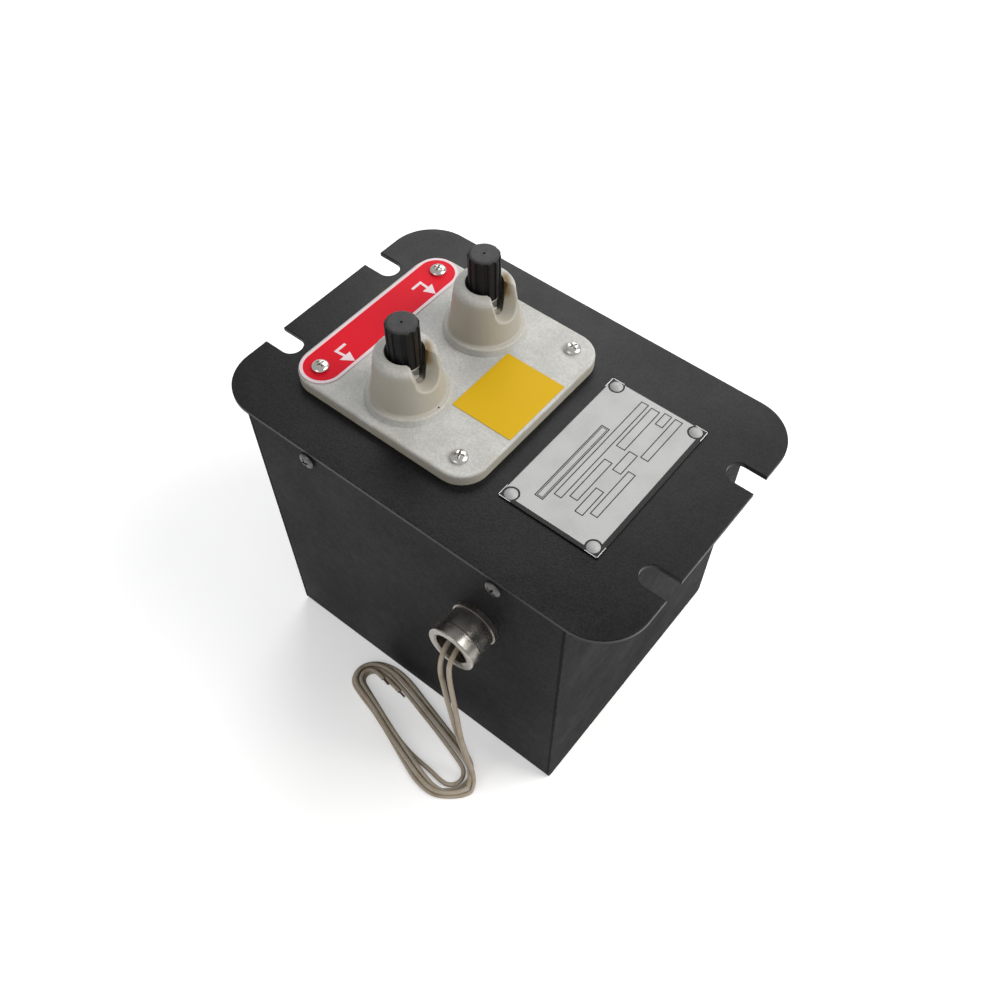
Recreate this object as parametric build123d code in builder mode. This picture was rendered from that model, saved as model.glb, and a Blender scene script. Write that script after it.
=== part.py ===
"""Burner ignition transformer: a welded sheet-steel case under a slotted cover plate.

The moulded terminal board on the plate carries two high-tension bushings with screw-down knobs.
The supply leads leave a turned nipple in the front wall, and the core and coils stand in a
poured filling. Millimetres, +Z up, origin at the centre of the case's underside, front is -Y.
"""
import math
import os

from build123d import *

os.makedirs("parts", exist_ok=True)

# Case: a folded wrap closed by two welded end panels
case_length = 166.0
case_width = 139.0
case_height = 153.0
case_sheet = 1.5
case_bend_radius = 2.5

# Cover plate with four open mounting slots
plate_length = 210.0
plate_width = 140.0
plate_sheet = 2.0
plate_corner_radius = 22.0
plate_edge_round = 0.4
slot_spacing_x = 190.0
slot_spacing_y = 63.0
slot_width = 10.5

# Rails under the cover plate, and the four screws through the case into them
rail_length = 150.0
rail_leg = 13.0
rail_sheet = 1.5
bend_factor = 2.0
cover_screw_spacing = 98.0
cover_screw_drop = 6.6
cover_screw_length = 7.5

# Pan-head screws
screw_head_radius = 3.75
screw_head_height = 2.4
screw_shank_radius = 1.95
screw_recess_length = 4.4
screw_recess_width = 1.05
screw_recess_depth = 1.7
screw_recess_taper = 14.0
screw_rim_share = 0.35
screw_point_share = 0.4
cover_screw_turns = (20.0, 65.0)
label_screw_turns = (-5.0, 15.0)
plain_screw_turns = (25.0, 65.0)
board_screw_length = 12.0
thread_clearance = 0.05
screw_play = 0.3

# Terminal board and its two bushings, one moulding
board_length = 99.0
board_width = 95.5
board_thickness = 5.5
board_corner_radius = 13.0
board_edge_round = 1.1
board_centre_x = -33.0
board_centre_y = 1.2
board_screw_spacing = 76.0
bushing_spacing = 50.0
bushing_foot_radius = 18.7
bushing_foot_height = 3.2
bushing_foot_draft = 0.9
bushing_foot_round = 0.8
cone_bottom_radius = 15.7
cone_top_radius = 12.7
cone_height = 25.0
cone_blend_radius = 1.1
rim_round = 3.4
socket_radius = 8.2
socket_depth = 12.6
notch_floor_half = 2.9
notch_mouth_half = 6.0
notch_flare_start = 7.8
notch_flare_end = 15.4
notch_flare_floor_half = 11.4
notch_flare_mouth_half = 13.4
notch_lip_round = 0.9
notch_overcut = 1.0
barrel_radius = 12.5
barrel_depth = 27.0
barrel_play = 1.0
underside_recess_radius = 7.5
underside_recess_depth = 20.0

# Stud, nuts and washers of one terminal, for an M6 thread
stud_radius = 3.0
stud_tail = 12.0
stud_chamfer = 0.5
terminal_washer_radius = 6.0
terminal_washer_height = 1.0
hex_nut_flats = 10.0
hex_nut_height = 5.2
hex_nut_turn = 12.0
clamp_washer_radius = 6.4
clamp_washer_height = 0.8
clamp_washer_play = 0.35
moving_gap = 0.3
turning_clearance = 0.05

# Hand-turned terminal knob and its threaded insert
knob_height = 20.0
knob_core_radius = 6.35
knob_rib_height = 0.6
knob_rib_width = 1.8
knob_rib_count = 12
knob_rib_round = 0.5
knob_top_radius = 5.4
knob_shoulder = 1.5
knob_shoulder_slope = 0.35
knob_foot_round = 0.5
knob_dimple_radius = 0.55
knob_dimple_depth = 0.8
insert_radius = 4.6
insert_length = 12.0
insert_groove_depth = 0.4
insert_groove_width = 1.6
stud_reach = 11.0

# Label on the board, sticker on the board and nameplate on the cover
label_length = 93.0
label_width = 20.0
label_thickness = 0.5
sticker_start_x = 17.8
sticker_length_y = 37.0
sticker_thickness = 0.25
sticker_edge_gap = 0.2
sticker_corner_radius = 0.6
nameplate_length_x = 48.2
nameplate_length_y = 79.2
nameplate_thickness = 0.8
nameplate_centre_x = 50.0
nameplate_centre_y = 1.2
nameplate_corner_radius = 0.8
rivet_margin_x = 4.05
rivet_margin_y = 3.3
rivet_head_radius = 2.9
rivet_head_height = 1.2
rivet_shank_radius = 1.6
rivet_tail_radius = 2.3
rivet_tail_height = 1.0

# Nipple in the front wall, its lock nut and the fibre bush that the leads pass through
nipple_x = 39.8
nipple_drop = 41.2
nipple_bore_radius = 8.0
nipple_thread_radius = 9.6
nipple_thread_length = 12.0
nipple_base_radius = 11.3
nipple_base_length = 2.2
nipple_body_radius = 10.6
nipple_body_length = 8.8
nipple_groove_depth = 0.8
nipple_groove_width = 0.9
nipple_collar_radius = 11.6
nipple_collar_length = 5.6
nipple_collar_round = 0.8
nipple_mouth_chamfer = 0.9
lock_nut_flats = 25.0
lock_nut_height = 4.0
bush_recess = 6.0
bush_length = 22.0

# Share of its shorter run that a corner of a lead or wire takes up
corner_share = 0.45

# Free leads: each hangs from the bush to its coil on the floor. A point is its steps along X and Y
# from the nipple's axis at the bush face, and its height as a share of the nipple's height
lead_radius = 1.15
left_lead_route = [
    (-3.4, 0.0, 0.989),
    (-3.4, -4.4, 0.989),
    (-3.3, -8.3, 0.968),
    (-2.7, -10.9, 0.927),
    (-2.2, -11.4, 0.868),
    (-2.3, -11.2, 0.769),
    (-0.2, -11.0, 0.640),
    (3.0, -11.2, 0.496),
    (5.8, -11.0, 0.349),
    (9.4, -11.2, 0.210),
    (12.8, -13.4, 0.107),
]
right_lead_route = [
    (1.4, 0.0, 0.991),
    (1.4, -4.4, 0.991),
    (1.5, -8.3, 0.970),
    (2.1, -10.9, 0.929),
    (2.9, -11.4, 0.869),
    (3.2, -11.2, 0.769),
    (5.1, -11.0, 0.644),
    (7.6, -10.8, 0.501),
    (9.6, -10.6, 0.353),
    (13.0, -10.8, 0.206),
    (16.7, -12.9, 0.094),
]
coil_layer = 2.4
coil_left_centre = (-20.5, -84.7)
coil_left_radius = 12.0
coil_right_centre = (44.0, -98.0)
coil_right_radius = 15.5
coil_band = 7.6
upper_coil_inset = 1.0
upper_coil_pull = 2.4

# Core: an E stack and an I stack of laminations, lying flat, with a coil on the centre leg
core_leg_width = 18.0
core_window_width = 16.0
core_window_length = 106.0
core_stack_height = 36.0
core_hole_radius = 2.75
core_foot_height = 18.0
coil_build = 12.0
former_wall = 1.2
former_play = 0.3
former_cheek = 1.2
winding_corner_radius = 9.0
primary_length = 26.0
secondary_end_gap = 2.0
shunt_length = 5.4
shunt_gap = 0.4
shunt_side_gap = 1.3

# Clamp bars, feet and bolts that hold the core to the case
clamp_bar_width = 15.0
clamp_bar_thickness = 3.0
foot_sheet = 2.0
foot_flange = 18.0
bolt_radius = 2.5
bolt_head_flats = 8.0
bolt_head_height = 3.5
bolt_nut_height = 4.0
bolt_tail = 2.0

# Inner wiring and filling
tail_radius = 1.3
tail_spacing = 6.0
tail_rise = 14.0
tail_slant = 30.0
tail_dip = 12.0
tail_straight = 14.0
ht_wire_radius = 1.6
ht_wire_rise = 14.0
ht_wire_slant = 30.0
ht_wire_lean = 0.8
ht_wire_drop = 18.0
tap_wire_radius = 1.0
tap_rise = 7.0
strap_width = 8.0
strap_thickness = 0.8
strap_rise = 18.0
strap_inset = 3.0
filling_drop = 16.8


# Levels and places worked out from the sizes above
plate_underside = case_height
plate_top = plate_underside + plate_sheet
nipple_z = plate_underside - nipple_drop
board_top = plate_top + board_thickness
foot_top = board_top + bushing_foot_height
rim_level = board_top + cone_height
socket_floor = rim_level - socket_depth
barrel_bottom = plate_top - barrel_depth
recess_ceiling = barrel_bottom + underside_recess_depth
label_top = board_top + label_thickness
nameplate_top = plate_top + nameplate_thickness
rivet_spacing_x = nameplate_length_x - 2 * rivet_margin_x
rivet_spacing_y = nameplate_length_y - 2 * rivet_margin_y
wall_inner_y = case_width / 2 - case_sheet
wall_inner_x = case_length / 2 - case_sheet
cover_screw_z = plate_top - cover_screw_drop
nut_bottom = socket_floor + terminal_washer_height
nut_top = nut_bottom + hex_nut_height
clamp_washer_bottom = nut_top + moving_gap
knob_bottom = clamp_washer_bottom + clamp_washer_height + moving_gap
knob_top = knob_bottom + knob_height
knob_radius = knob_core_radius + knob_rib_height
insert_groove_z = knob_bottom + (insert_length - insert_groove_width) / 2
stud_top = knob_bottom + stud_reach
under_nut_top = recess_ceiling - terminal_washer_height
under_nut_bottom = under_nut_top - hex_nut_height
stud_bottom = under_nut_bottom - stud_tail
nipple_mouth_y = -(case_width / 2 + nipple_base_length + nipple_body_length
                   + nipple_groove_width + nipple_collar_length)
bush_face_y = nipple_mouth_y + bush_recess
bush_inner_y = bush_face_y + bush_length
filling_level = nipple_z - filling_drop
core_z = case_sheet + core_foot_height + core_stack_height / 2
core_top = core_z + core_stack_height / 2
core_bottom = core_z - core_stack_height / 2
centre_leg = 2 * core_leg_width
core_width = 2 * centre_leg + 2 * core_window_width
core_length = core_window_length + 2 * core_leg_width
winding_half = core_leg_width + former_play + former_wall + coil_build
winding_top = core_z + winding_half
shunt_space = shunt_length + 2 * shunt_side_gap
secondary_length = (core_window_length - primary_length) / 2 - shunt_space - secondary_end_gap
secondary_x = core_window_length / 2 - secondary_length / 2 - secondary_end_gap
shunt_x = (primary_length / 2 + secondary_x - secondary_length / 2) / 2
bolt_x = core_length / 2 - core_leg_width / 2
bolt_y = core_width / 2 - core_leg_width / 2
bushings = {"front": board_centre_y - bushing_spacing / 2, "rear": board_centre_y + bushing_spacing / 2}


def corner_radii(points):
    """Radius of each corner of a route, as large as its two runs allow."""
    radii = []
    for before, corner, after in zip(points, points[1:], points[2:]):
        run_in = Vector(*corner) - Vector(*before)
        run_out = Vector(*after) - Vector(*corner)
        half_turn = math.radians(run_in.get_angle(run_out) / 2)
        radii.append(corner_share * min(run_in.length, run_out.length) / math.tan(half_turn))
    return radii


def route_length(points, radii):
    """Length of the route along its straight runs and the arcs at its corners."""
    total = sum((Vector(*b) - Vector(*a)).length for a, b in zip(points, points[1:]))
    for before, corner, after, radius in zip(points, points[1:], points[2:], radii):
        run_in = Vector(*corner) - Vector(*before)
        run_out = Vector(*after) - Vector(*corner)
        turn = math.radians(run_in.get_angle(run_out))
        total += radius * (turn - 2 * math.tan(turn / 2))
    return total


# Case wrap: front wall, floor and rear wall folded from one sheet
with BuildPart() as case_wrap:
    with BuildSketch(Plane.YZ.offset(-wall_inner_x)):
        with BuildLine():
            FilletPolyline(
                (-case_width / 2, case_height),
                (-case_width / 2, 0),
                (case_width / 2, 0),
                (case_width / 2, case_height),
                radius=case_bend_radius,
            )
            offset(amount=case_sheet, side=Side.LEFT)
        make_face()
    extrude(amount=2 * wall_inner_x)
    with BuildSketch(Plane.XZ.offset(-case_width)):
        with Locations((0, cover_screw_z)):
            with GridLocations(cover_screw_spacing, 1, 2, 1):
                Circle(screw_shank_radius + screw_play)
    extrude(amount=2 * case_width, mode=Mode.SUBTRACT)
    with BuildSketch(Plane.XZ.offset(wall_inner_y - case_sheet)):
        with Locations((nipple_x, nipple_z)):
            Circle(nipple_thread_radius + thread_clearance)
    extrude(amount=3 * case_sheet, mode=Mode.SUBTRACT)
case_wrap.part.label = "case_wrap"
export_step(case_wrap.part, "parts/case_wrap.step")

# End panels, cut to the wrap's section and welded round their edges
for side, start in {"left": -case_length / 2, "right": wall_inner_x}.items():
    with BuildPart() as end_panel:
        with BuildSketch(Plane.YZ.offset(start)):
            with Locations((0, case_height / 2)):
                Rectangle(case_width, case_height)
            fillet(vertices().group_by(Axis.Y)[0], case_bend_radius)
        extrude(amount=case_sheet)
    end_panel.part.label = f"end_panel_{side}"
    export_step(end_panel.part, f"parts/end_panel_{side}.step")

# Cover plate: one flat sheet with open slots and holes for all that stands on it
with BuildPart() as cover_plate:
    with BuildSketch(Plane.XY.offset(plate_underside)):
        RectangleRounded(plate_length, plate_width, plate_corner_radius)
        with GridLocations(slot_spacing_x, slot_spacing_y, 2, 2):
            Circle(slot_width / 2, mode=Mode.SUBTRACT)
        with GridLocations(plate_length, slot_spacing_y, 2, 2):
            Rectangle(plate_length - slot_spacing_x, slot_width, mode=Mode.SUBTRACT)
        with Locations((board_centre_x, board_centre_y)):
            with GridLocations(1, bushing_spacing, 1, 2):
                Circle(barrel_radius + barrel_play, mode=Mode.SUBTRACT)
            with GridLocations(board_screw_spacing, board_screw_spacing, 2, 2):
                Circle(screw_shank_radius + thread_clearance, mode=Mode.SUBTRACT)
        with Locations((nameplate_centre_x, nameplate_centre_y)):
            with GridLocations(rivet_spacing_x, rivet_spacing_y, 2, 2):
                Circle(rivet_shank_radius + thread_clearance, mode=Mode.SUBTRACT)
    extrude(amount=plate_sheet)
    outer_wire = faces().sort_by(Axis.Z)[-1].outer_wire()
    fillet(outer_wire.edges(), plate_edge_round)
cover_plate.part.label = "cover_plate"
export_step(cover_plate.part, "parts/cover_plate.step")

# Rails: folded angles spot-welded under the plate, tapped for the cover screws
for place, side_sign in {"front": -1, "rear": 1}.items():
    with BuildPart() as cover_rail:
        with BuildSketch(Plane.YZ.offset(-rail_length / 2)):
            with BuildLine():
                FilletPolyline(
                    (side_sign * wall_inner_y, plate_underside - rail_leg),
                    (side_sign * wall_inner_y, plate_underside),
                    (side_sign * (wall_inner_y - rail_leg), plate_underside),
                    radius=bend_factor * rail_sheet,
                )
                offset(amount=rail_sheet, side=Side.RIGHT if side_sign < 0 else Side.LEFT)
            make_face()
        extrude(amount=rail_length)
        with BuildSketch(Plane.XZ.offset(-side_sign * wall_inner_y - 2 * rail_sheet)):
            with Locations((0, cover_screw_z)):
                with GridLocations(cover_screw_spacing, 1, 2, 1):
                    Circle(screw_shank_radius + thread_clearance)
        extrude(amount=4 * rail_sheet, mode=Mode.SUBTRACT)
    cover_rail.part.label = f"{place}_rail"
    export_step(cover_rail.part, f"parts/{place}_rail.step")


def pan_screw(shank_length):
    """A pan-head cross-recess screw: seat at the origin, head up, shank down."""
    with BuildPart() as screw:
        with BuildSketch(Plane.XZ):
            with BuildLine():
                Polyline(
                    (0, screw_head_height),
                    (0, -shank_length),
                    (screw_shank_radius * screw_point_share, -shank_length),
                    (screw_shank_radius, -shank_length + screw_shank_radius),
                    (screw_shank_radius, 0),
                    (screw_head_radius, 0),
                    (screw_head_radius, screw_head_height * screw_rim_share),
                )
                EllipticalCenterArc(
                    (0, screw_head_height * screw_rim_share),
                    screw_head_radius,
                    screw_head_height * (1 - screw_rim_share),
                    start_angle=0,
                    arc_size=90,
                )
            make_face()
        revolve(axis=Axis.Z)
        with BuildSketch(Plane.XY.offset(screw_head_height)):
            Rectangle(screw_recess_length, screw_recess_width)
            Rectangle(screw_recess_width, screw_recess_length)
        extrude(amount=-screw_recess_depth, taper=screw_recess_taper, mode=Mode.SUBTRACT)
    return screw.part


# Cover screws, through the front and rear walls into the rails
cover_screw = pan_screw(cover_screw_length)
with BuildPart() as cover_screws:
    for side_sign in (-1, 1):
        for turn, x in zip(cover_screw_turns, (-cover_screw_spacing / 2, cover_screw_spacing / 2)):
            seat = Plane(
                origin=(x, side_sign * case_width / 2, cover_screw_z),
                x_dir=(math.cos(math.radians(turn)), 0, math.sin(math.radians(turn))),
                z_dir=(0, side_sign, 0),
            )
            with Locations(seat):
                add(cover_screw)
cover_screws.part.label = "cover_screws"
export_step(cover_screws.part, "parts/cover_screws.step")

# Terminal board: a moulded plate with both bushings and their barrels in one piece
with BuildPart() as terminal_board:
    with BuildSketch(Plane.XY.offset(plate_top)):
        with Locations((board_centre_x, board_centre_y)):
            RectangleRounded(board_length, board_width, board_corner_radius)
    extrude(amount=board_thickness)
    fillet(faces().sort_by(Axis.Z)[-1].outer_wire().edges(), board_edge_round)
    for bushing_y in bushings.values():
        with BuildSketch(Plane.XZ.offset(-bushing_y)):
            with BuildLine():
                Polyline(
                    (board_centre_x, rim_level),
                    (board_centre_x, barrel_bottom),
                    (board_centre_x + barrel_radius, barrel_bottom),
                    (board_centre_x + barrel_radius, plate_top),
                    (board_centre_x + bushing_foot_radius, plate_top),
                    (board_centre_x + bushing_foot_radius, board_top),
                    (board_centre_x + bushing_foot_radius - bushing_foot_draft, foot_top),
                    (board_centre_x + cone_bottom_radius, foot_top),
                    (board_centre_x + cone_top_radius, rim_level),
                    close=True,
                )
            make_face()
            foot_corner = vertices().sort_by_distance((board_centre_x + bushing_foot_radius, foot_top))[0]
            fillet(foot_corner, bushing_foot_round)
            cone_root = vertices().sort_by_distance((board_centre_x + cone_bottom_radius, foot_top))[0]
            fillet(cone_root, cone_blend_radius)
            rim_corner = vertices().sort_by_distance((board_centre_x + cone_top_radius, rim_level))[0]
            fillet(rim_corner, rim_round)
        revolve(axis=Axis((board_centre_x, bushing_y, 0), (0, 0, 1)))
    with BuildSketch(Plane.XY.offset(rim_level)):
        with Locations((board_centre_x, board_centre_y)):
            with GridLocations(1, bushing_spacing, 1, 2):
                Circle(socket_radius)
    extrude(amount=-socket_depth, mode=Mode.SUBTRACT)
    with BuildSketch(Plane.XY.offset(barrel_bottom)):
        with Locations((board_centre_x, board_centre_y)):
            with GridLocations(1, bushing_spacing, 1, 2):
                Circle(underside_recess_radius)
    extrude(amount=underside_recess_depth, mode=Mode.SUBTRACT)
    with BuildSketch(Plane.XY.offset(barrel_bottom)):
        with Locations((board_centre_x, board_centre_y)):
            with GridLocations(1, bushing_spacing, 1, 2):
                Circle(stud_radius + thread_clearance)
    extrude(amount=rim_level - barrel_bottom, mode=Mode.SUBTRACT)
    # Cable notch: a round-floored slot towards the nameplate that flares out to the cone's flank
    notch_sections = (
        (0, notch_floor_half, notch_mouth_half),
        (notch_flare_start, notch_floor_half, notch_mouth_half),
        (notch_flare_end, notch_flare_floor_half, notch_flare_mouth_half),
    )
    for bushing_y in bushings.values():
        for reach, floor_half, mouth_half in notch_sections:
            with BuildSketch(Plane.YZ.offset(board_centre_x + reach)):
                with BuildLine():
                    Polyline(
                        (bushing_y - floor_half, socket_floor + floor_half),
                        (bushing_y - mouth_half, rim_level + notch_overcut),
                        (bushing_y + mouth_half, rim_level + notch_overcut),
                        (bushing_y + floor_half, socket_floor + floor_half),
                    )
                    CenterArc((bushing_y, socket_floor + floor_half), floor_half, 180, 180)
                make_face()
        loft(ruled=True, mode=Mode.SUBTRACT)
        outer_lips = edges(Select.NEW).filter_by(
            lambda edge: (edge @ 0.5).X > board_centre_x + socket_radius + notch_lip_round
        )
        fillet(outer_lips, notch_lip_round)
    with BuildSketch(Plane.XY.offset(plate_top)):
        with Locations((board_centre_x, board_centre_y)):
            with GridLocations(board_screw_spacing, board_screw_spacing, 2, 2):
                Circle(screw_shank_radius + screw_play)
    extrude(amount=board_thickness, mode=Mode.SUBTRACT)
terminal_board.part.label = "terminal_board"
export_step(terminal_board.part, "parts/terminal_board.step")

# Board screws: the two at the label seat on it, the other two on the board
board_screw = pan_screw(board_screw_length)
with BuildPart() as board_screws:
    for x_sign, seat_z, turns in ((-1, label_top, label_screw_turns), (1, board_top, plain_screw_turns)):
        for y_sign, turn in zip((-1, 1), turns):
            seat = Plane(
                origin=(
                    board_centre_x + x_sign * board_screw_spacing / 2,
                    board_centre_y + y_sign * board_screw_spacing / 2,
                    seat_z,
                ),
                x_dir=(math.cos(math.radians(turn)), math.sin(math.radians(turn)), 0),
            )
            with Locations(seat):
                add(board_screw)
board_screws.part.label = "board_screws"
export_step(board_screws.part, "parts/board_screws.step")

# Label across the board's left end, held by two of the board screws
with BuildPart() as voltage_label:
    with BuildSketch(Plane.XY.offset(board_top)):
        with Locations((board_centre_x - board_screw_spacing / 2, board_centre_y)):
            SlotOverall(label_length, label_width, rotation=90)
            with GridLocations(1, board_screw_spacing, 1, 2):
                Circle(screw_shank_radius + screw_play, mode=Mode.SUBTRACT)
    extrude(amount=label_thickness)
voltage_label.part.label = "voltage_label"
export_step(voltage_label.part, "parts/voltage_label.step")

# Plain sticker near the board's right end
sticker_left_x = board_centre_x + sticker_start_x
sticker_right_x = board_centre_x + board_length / 2 - board_edge_round - sticker_edge_gap
sticker_length_x = sticker_right_x - sticker_left_x
sticker_centre_x = (sticker_left_x + sticker_right_x) / 2
with BuildPart() as board_sticker:
    with BuildSketch(Plane.XY.offset(board_top)):
        with Locations((sticker_centre_x, board_centre_y)):
            RectangleRounded(sticker_length_x, sticker_length_y, sticker_corner_radius)
    extrude(amount=sticker_thickness)
board_sticker.part.label = "board_sticker"
export_step(board_sticker.part, "parts/board_sticker.step")

# Nameplate and the rivets at its corners
with BuildPart() as nameplate:
    with BuildSketch(Plane.XY.offset(plate_top)):
        with Locations((nameplate_centre_x, nameplate_centre_y)):
            RectangleRounded(nameplate_length_x, nameplate_length_y, nameplate_corner_radius)
            with GridLocations(rivet_spacing_x, rivet_spacing_y, 2, 2):
                Circle(rivet_shank_radius + thread_clearance, mode=Mode.SUBTRACT)
    extrude(amount=nameplate_thickness)
nameplate.part.label = "nameplate"
export_step(nameplate.part, "parts/nameplate.step")

with BuildPart() as rivet:
    with BuildSketch(Plane.XZ):
        with BuildLine():
            Polyline(
                (0, nameplate_top + rivet_head_height),
                (0, plate_underside - rivet_tail_height),
                (rivet_tail_radius, plate_underside - rivet_tail_height),
                (rivet_tail_radius, plate_underside),
                (rivet_shank_radius, plate_underside),
                (rivet_shank_radius, nameplate_top),
                (rivet_head_radius, nameplate_top),
            )
            TangentArc(
                (0, nameplate_top + rivet_head_height),
                (rivet_head_radius, nameplate_top),
                tangent=(1, 0),
            )
        make_face()
    revolve(axis=Axis.Z)
with BuildPart() as nameplate_rivets:
    with Locations((nameplate_centre_x, nameplate_centre_y)):
        with GridLocations(rivet_spacing_x, rivet_spacing_y, 2, 2):
            add(rivet.part)
nameplate_rivets.part.label = "nameplate_rivets"
export_step(nameplate_rivets.part, "parts/nameplate_rivets.step")

# Terminals: stud with its nuts and washers, sliding clamp washer, knob and its insert
for place, bushing_y in bushings.items():
    axis_point = (board_centre_x, bushing_y)

    with BuildPart() as terminal_stud:
        with BuildSketch(Plane.XY.offset(stud_bottom)):
            with Locations(axis_point):
                Circle(stud_radius)
        extrude(amount=stud_top - stud_bottom)
        chamfer(terminal_stud.edges().filter_by(GeomType.CIRCLE), stud_chamfer)
    terminal_stud.part.label = f"{place}_terminal_stud"
    export_step(terminal_stud.part, f"parts/{place}_terminal_stud.step")

    with BuildPart() as terminal_nuts:
        for low in (nut_bottom, under_nut_bottom):
            with BuildSketch(Plane.XY.offset(low)):
                with Locations(axis_point):
                    RegularPolygon(hex_nut_flats / 2, 6, major_radius=False, rotation=hex_nut_turn)
                    Circle(stud_radius + thread_clearance, mode=Mode.SUBTRACT)
            extrude(amount=hex_nut_height)
    terminal_nuts.part.label = f"{place}_terminal_nuts"
    export_step(terminal_nuts.part, f"parts/{place}_terminal_nuts.step")

    with BuildPart() as stud_washers:
        for low in (socket_floor, under_nut_top):
            with BuildSketch(Plane.XY.offset(low)):
                with Locations(axis_point):
                    Circle(terminal_washer_radius)
                    Circle(stud_radius + thread_clearance, mode=Mode.SUBTRACT)
            extrude(amount=terminal_washer_height)
    stud_washers.part.label = f"{place}_stud_washers"
    export_step(stud_washers.part, f"parts/{place}_stud_washers.step")

    with BuildPart() as clamp_washer:
        with BuildSketch(Plane.XY.offset(clamp_washer_bottom)):
            with Locations(axis_point):
                Circle(clamp_washer_radius)
                Circle(stud_radius + clamp_washer_play, mode=Mode.SUBTRACT)
        extrude(amount=clamp_washer_height)
    clamp_washer.part.label = f"{place}_clamp_washer"
    export_step(clamp_washer.part, f"parts/{place}_clamp_washer.step")

    with BuildPart() as knob_insert:
        with BuildSketch(Plane.XY.offset(knob_bottom)):
            with Locations(axis_point):
                Circle(insert_radius)
        extrude(amount=insert_length)
        with BuildSketch(Plane.XY.offset(insert_groove_z)):
            with Locations(axis_point):
                Circle(insert_radius)
                Circle(insert_radius - insert_groove_depth, mode=Mode.SUBTRACT)
        extrude(amount=insert_groove_width, mode=Mode.SUBTRACT)
        with BuildSketch(Plane.XY.offset(knob_bottom)):
            with Locations(axis_point):
                Circle(stud_radius + turning_clearance)
        extrude(amount=insert_length, mode=Mode.SUBTRACT)
    knob_insert.part.label = f"{place}_knob_insert"
    export_step(knob_insert.part, f"parts/{place}_knob_insert.step")

    with BuildPart() as terminal_knob:
        with BuildSketch(Plane.XY.offset(knob_bottom)):
            with Locations(axis_point):
                Circle(knob_core_radius)
                with PolarLocations(knob_core_radius, knob_rib_count):
                    RectangleRounded(2 * knob_rib_height, knob_rib_width, knob_rib_round)
        extrude(amount=knob_height)
        with BuildSketch(Plane.XZ.offset(-bushing_y)):
            with BuildLine():
                Polyline(
                    (board_centre_x, knob_top),
                    (board_centre_x, knob_bottom),
                    (board_centre_x + knob_radius - knob_foot_round, knob_bottom),
                    (board_centre_x + knob_radius, knob_bottom + knob_foot_round),
                    (board_centre_x + knob_radius, knob_top - knob_shoulder),
                )
                Spline(
                    (board_centre_x + knob_radius, knob_top - knob_shoulder),
                    (board_centre_x + knob_top_radius, knob_top),
                    tangents=((0, 1), (-1, knob_shoulder_slope)),
                )
                Line((board_centre_x + knob_top_radius, knob_top), (board_centre_x, knob_top))
            make_face()
        revolve(axis=Axis((board_centre_x, bushing_y, 0), (0, 0, 1)), mode=Mode.INTERSECT)
        with BuildSketch(Plane.XY.offset(knob_bottom)):
            with Locations(axis_point):
                Circle(insert_radius)
        extrude(amount=insert_length, mode=Mode.SUBTRACT)
        with BuildSketch(Plane.XY.offset(insert_groove_z)):
            with Locations(axis_point):
                Circle(insert_radius)
                Circle(insert_radius - insert_groove_depth, mode=Mode.SUBTRACT)
        extrude(amount=insert_groove_width)
        with BuildSketch(Plane.XY.offset(knob_top)):
            with Locations(axis_point):
                Circle(knob_dimple_radius)
        extrude(amount=-knob_dimple_depth, mode=Mode.SUBTRACT)
    terminal_knob.part.label = f"{place}_terminal_knob"
    export_step(terminal_knob.part, f"parts/{place}_terminal_knob.step")

# Nipple: one turned piece through the front wall, collared at its mouth
base_y = -case_width / 2 - nipple_base_length
groove_y = base_y - nipple_body_length
collar_y = groove_y - nipple_groove_width
with BuildPart() as conduit_nipple:
    with BuildSketch(Plane.XY.offset(nipple_z)):
        with BuildLine():
            Polyline(
                (nipple_x + nipple_bore_radius, nipple_thread_length - case_width / 2),
                (nipple_x + nipple_thread_radius, nipple_thread_length - case_width / 2),
                (nipple_x + nipple_thread_radius, -case_width / 2),
                (nipple_x + nipple_base_radius, -case_width / 2),
                (nipple_x + nipple_base_radius, base_y),
                (nipple_x + nipple_body_radius, base_y),
                (nipple_x + nipple_body_radius, groove_y),
                (nipple_x + nipple_body_radius - nipple_groove_depth, groove_y),
                (nipple_x + nipple_body_radius - nipple_groove_depth, collar_y),
                (nipple_x + nipple_collar_radius, collar_y),
                (nipple_x + nipple_collar_radius, nipple_mouth_y),
                (nipple_x + nipple_bore_radius + nipple_mouth_chamfer, nipple_mouth_y),
                (nipple_x + nipple_bore_radius, nipple_mouth_y + nipple_mouth_chamfer),
                close=True,
            )
        make_face()
        collar_corner = vertices().sort_by_distance((nipple_x + nipple_collar_radius, nipple_mouth_y))[0]
        fillet(collar_corner, nipple_collar_round)
    revolve(axis=Axis((nipple_x, 0, nipple_z), (0, 1, 0)))
conduit_nipple.part.label = "conduit_nipple"
export_step(conduit_nipple.part, "parts/conduit_nipple.step")

# Lock nut on the nipple's thread, inside the front wall
with BuildPart() as nipple_lock_nut:
    with BuildSketch(Plane.XZ.offset(wall_inner_y)):
        with Locations((nipple_x, nipple_z)):
            RegularPolygon(lock_nut_flats / 2, 6, major_radius=False)
            Circle(nipple_thread_radius + thread_clearance, mode=Mode.SUBTRACT)
    extrude(amount=-lock_nut_height)
nipple_lock_nut.part.label = "nipple_lock_nut"
export_step(nipple_lock_nut.part, "parts/nipple_lock_nut.step")

# Fibre bush in the nipple's bore, set back from the mouth
with BuildPart() as lead_bush:
    with BuildSketch(Plane.XZ.offset(-bush_face_y)):
        with Locations((nipple_x, nipple_z)):
            Circle(nipple_bore_radius - thread_clearance)
    extrude(amount=-bush_length)
lead_bush.part.label = "lead_bush"
export_step(lead_bush.part, "parts/lead_bush.step")


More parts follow.
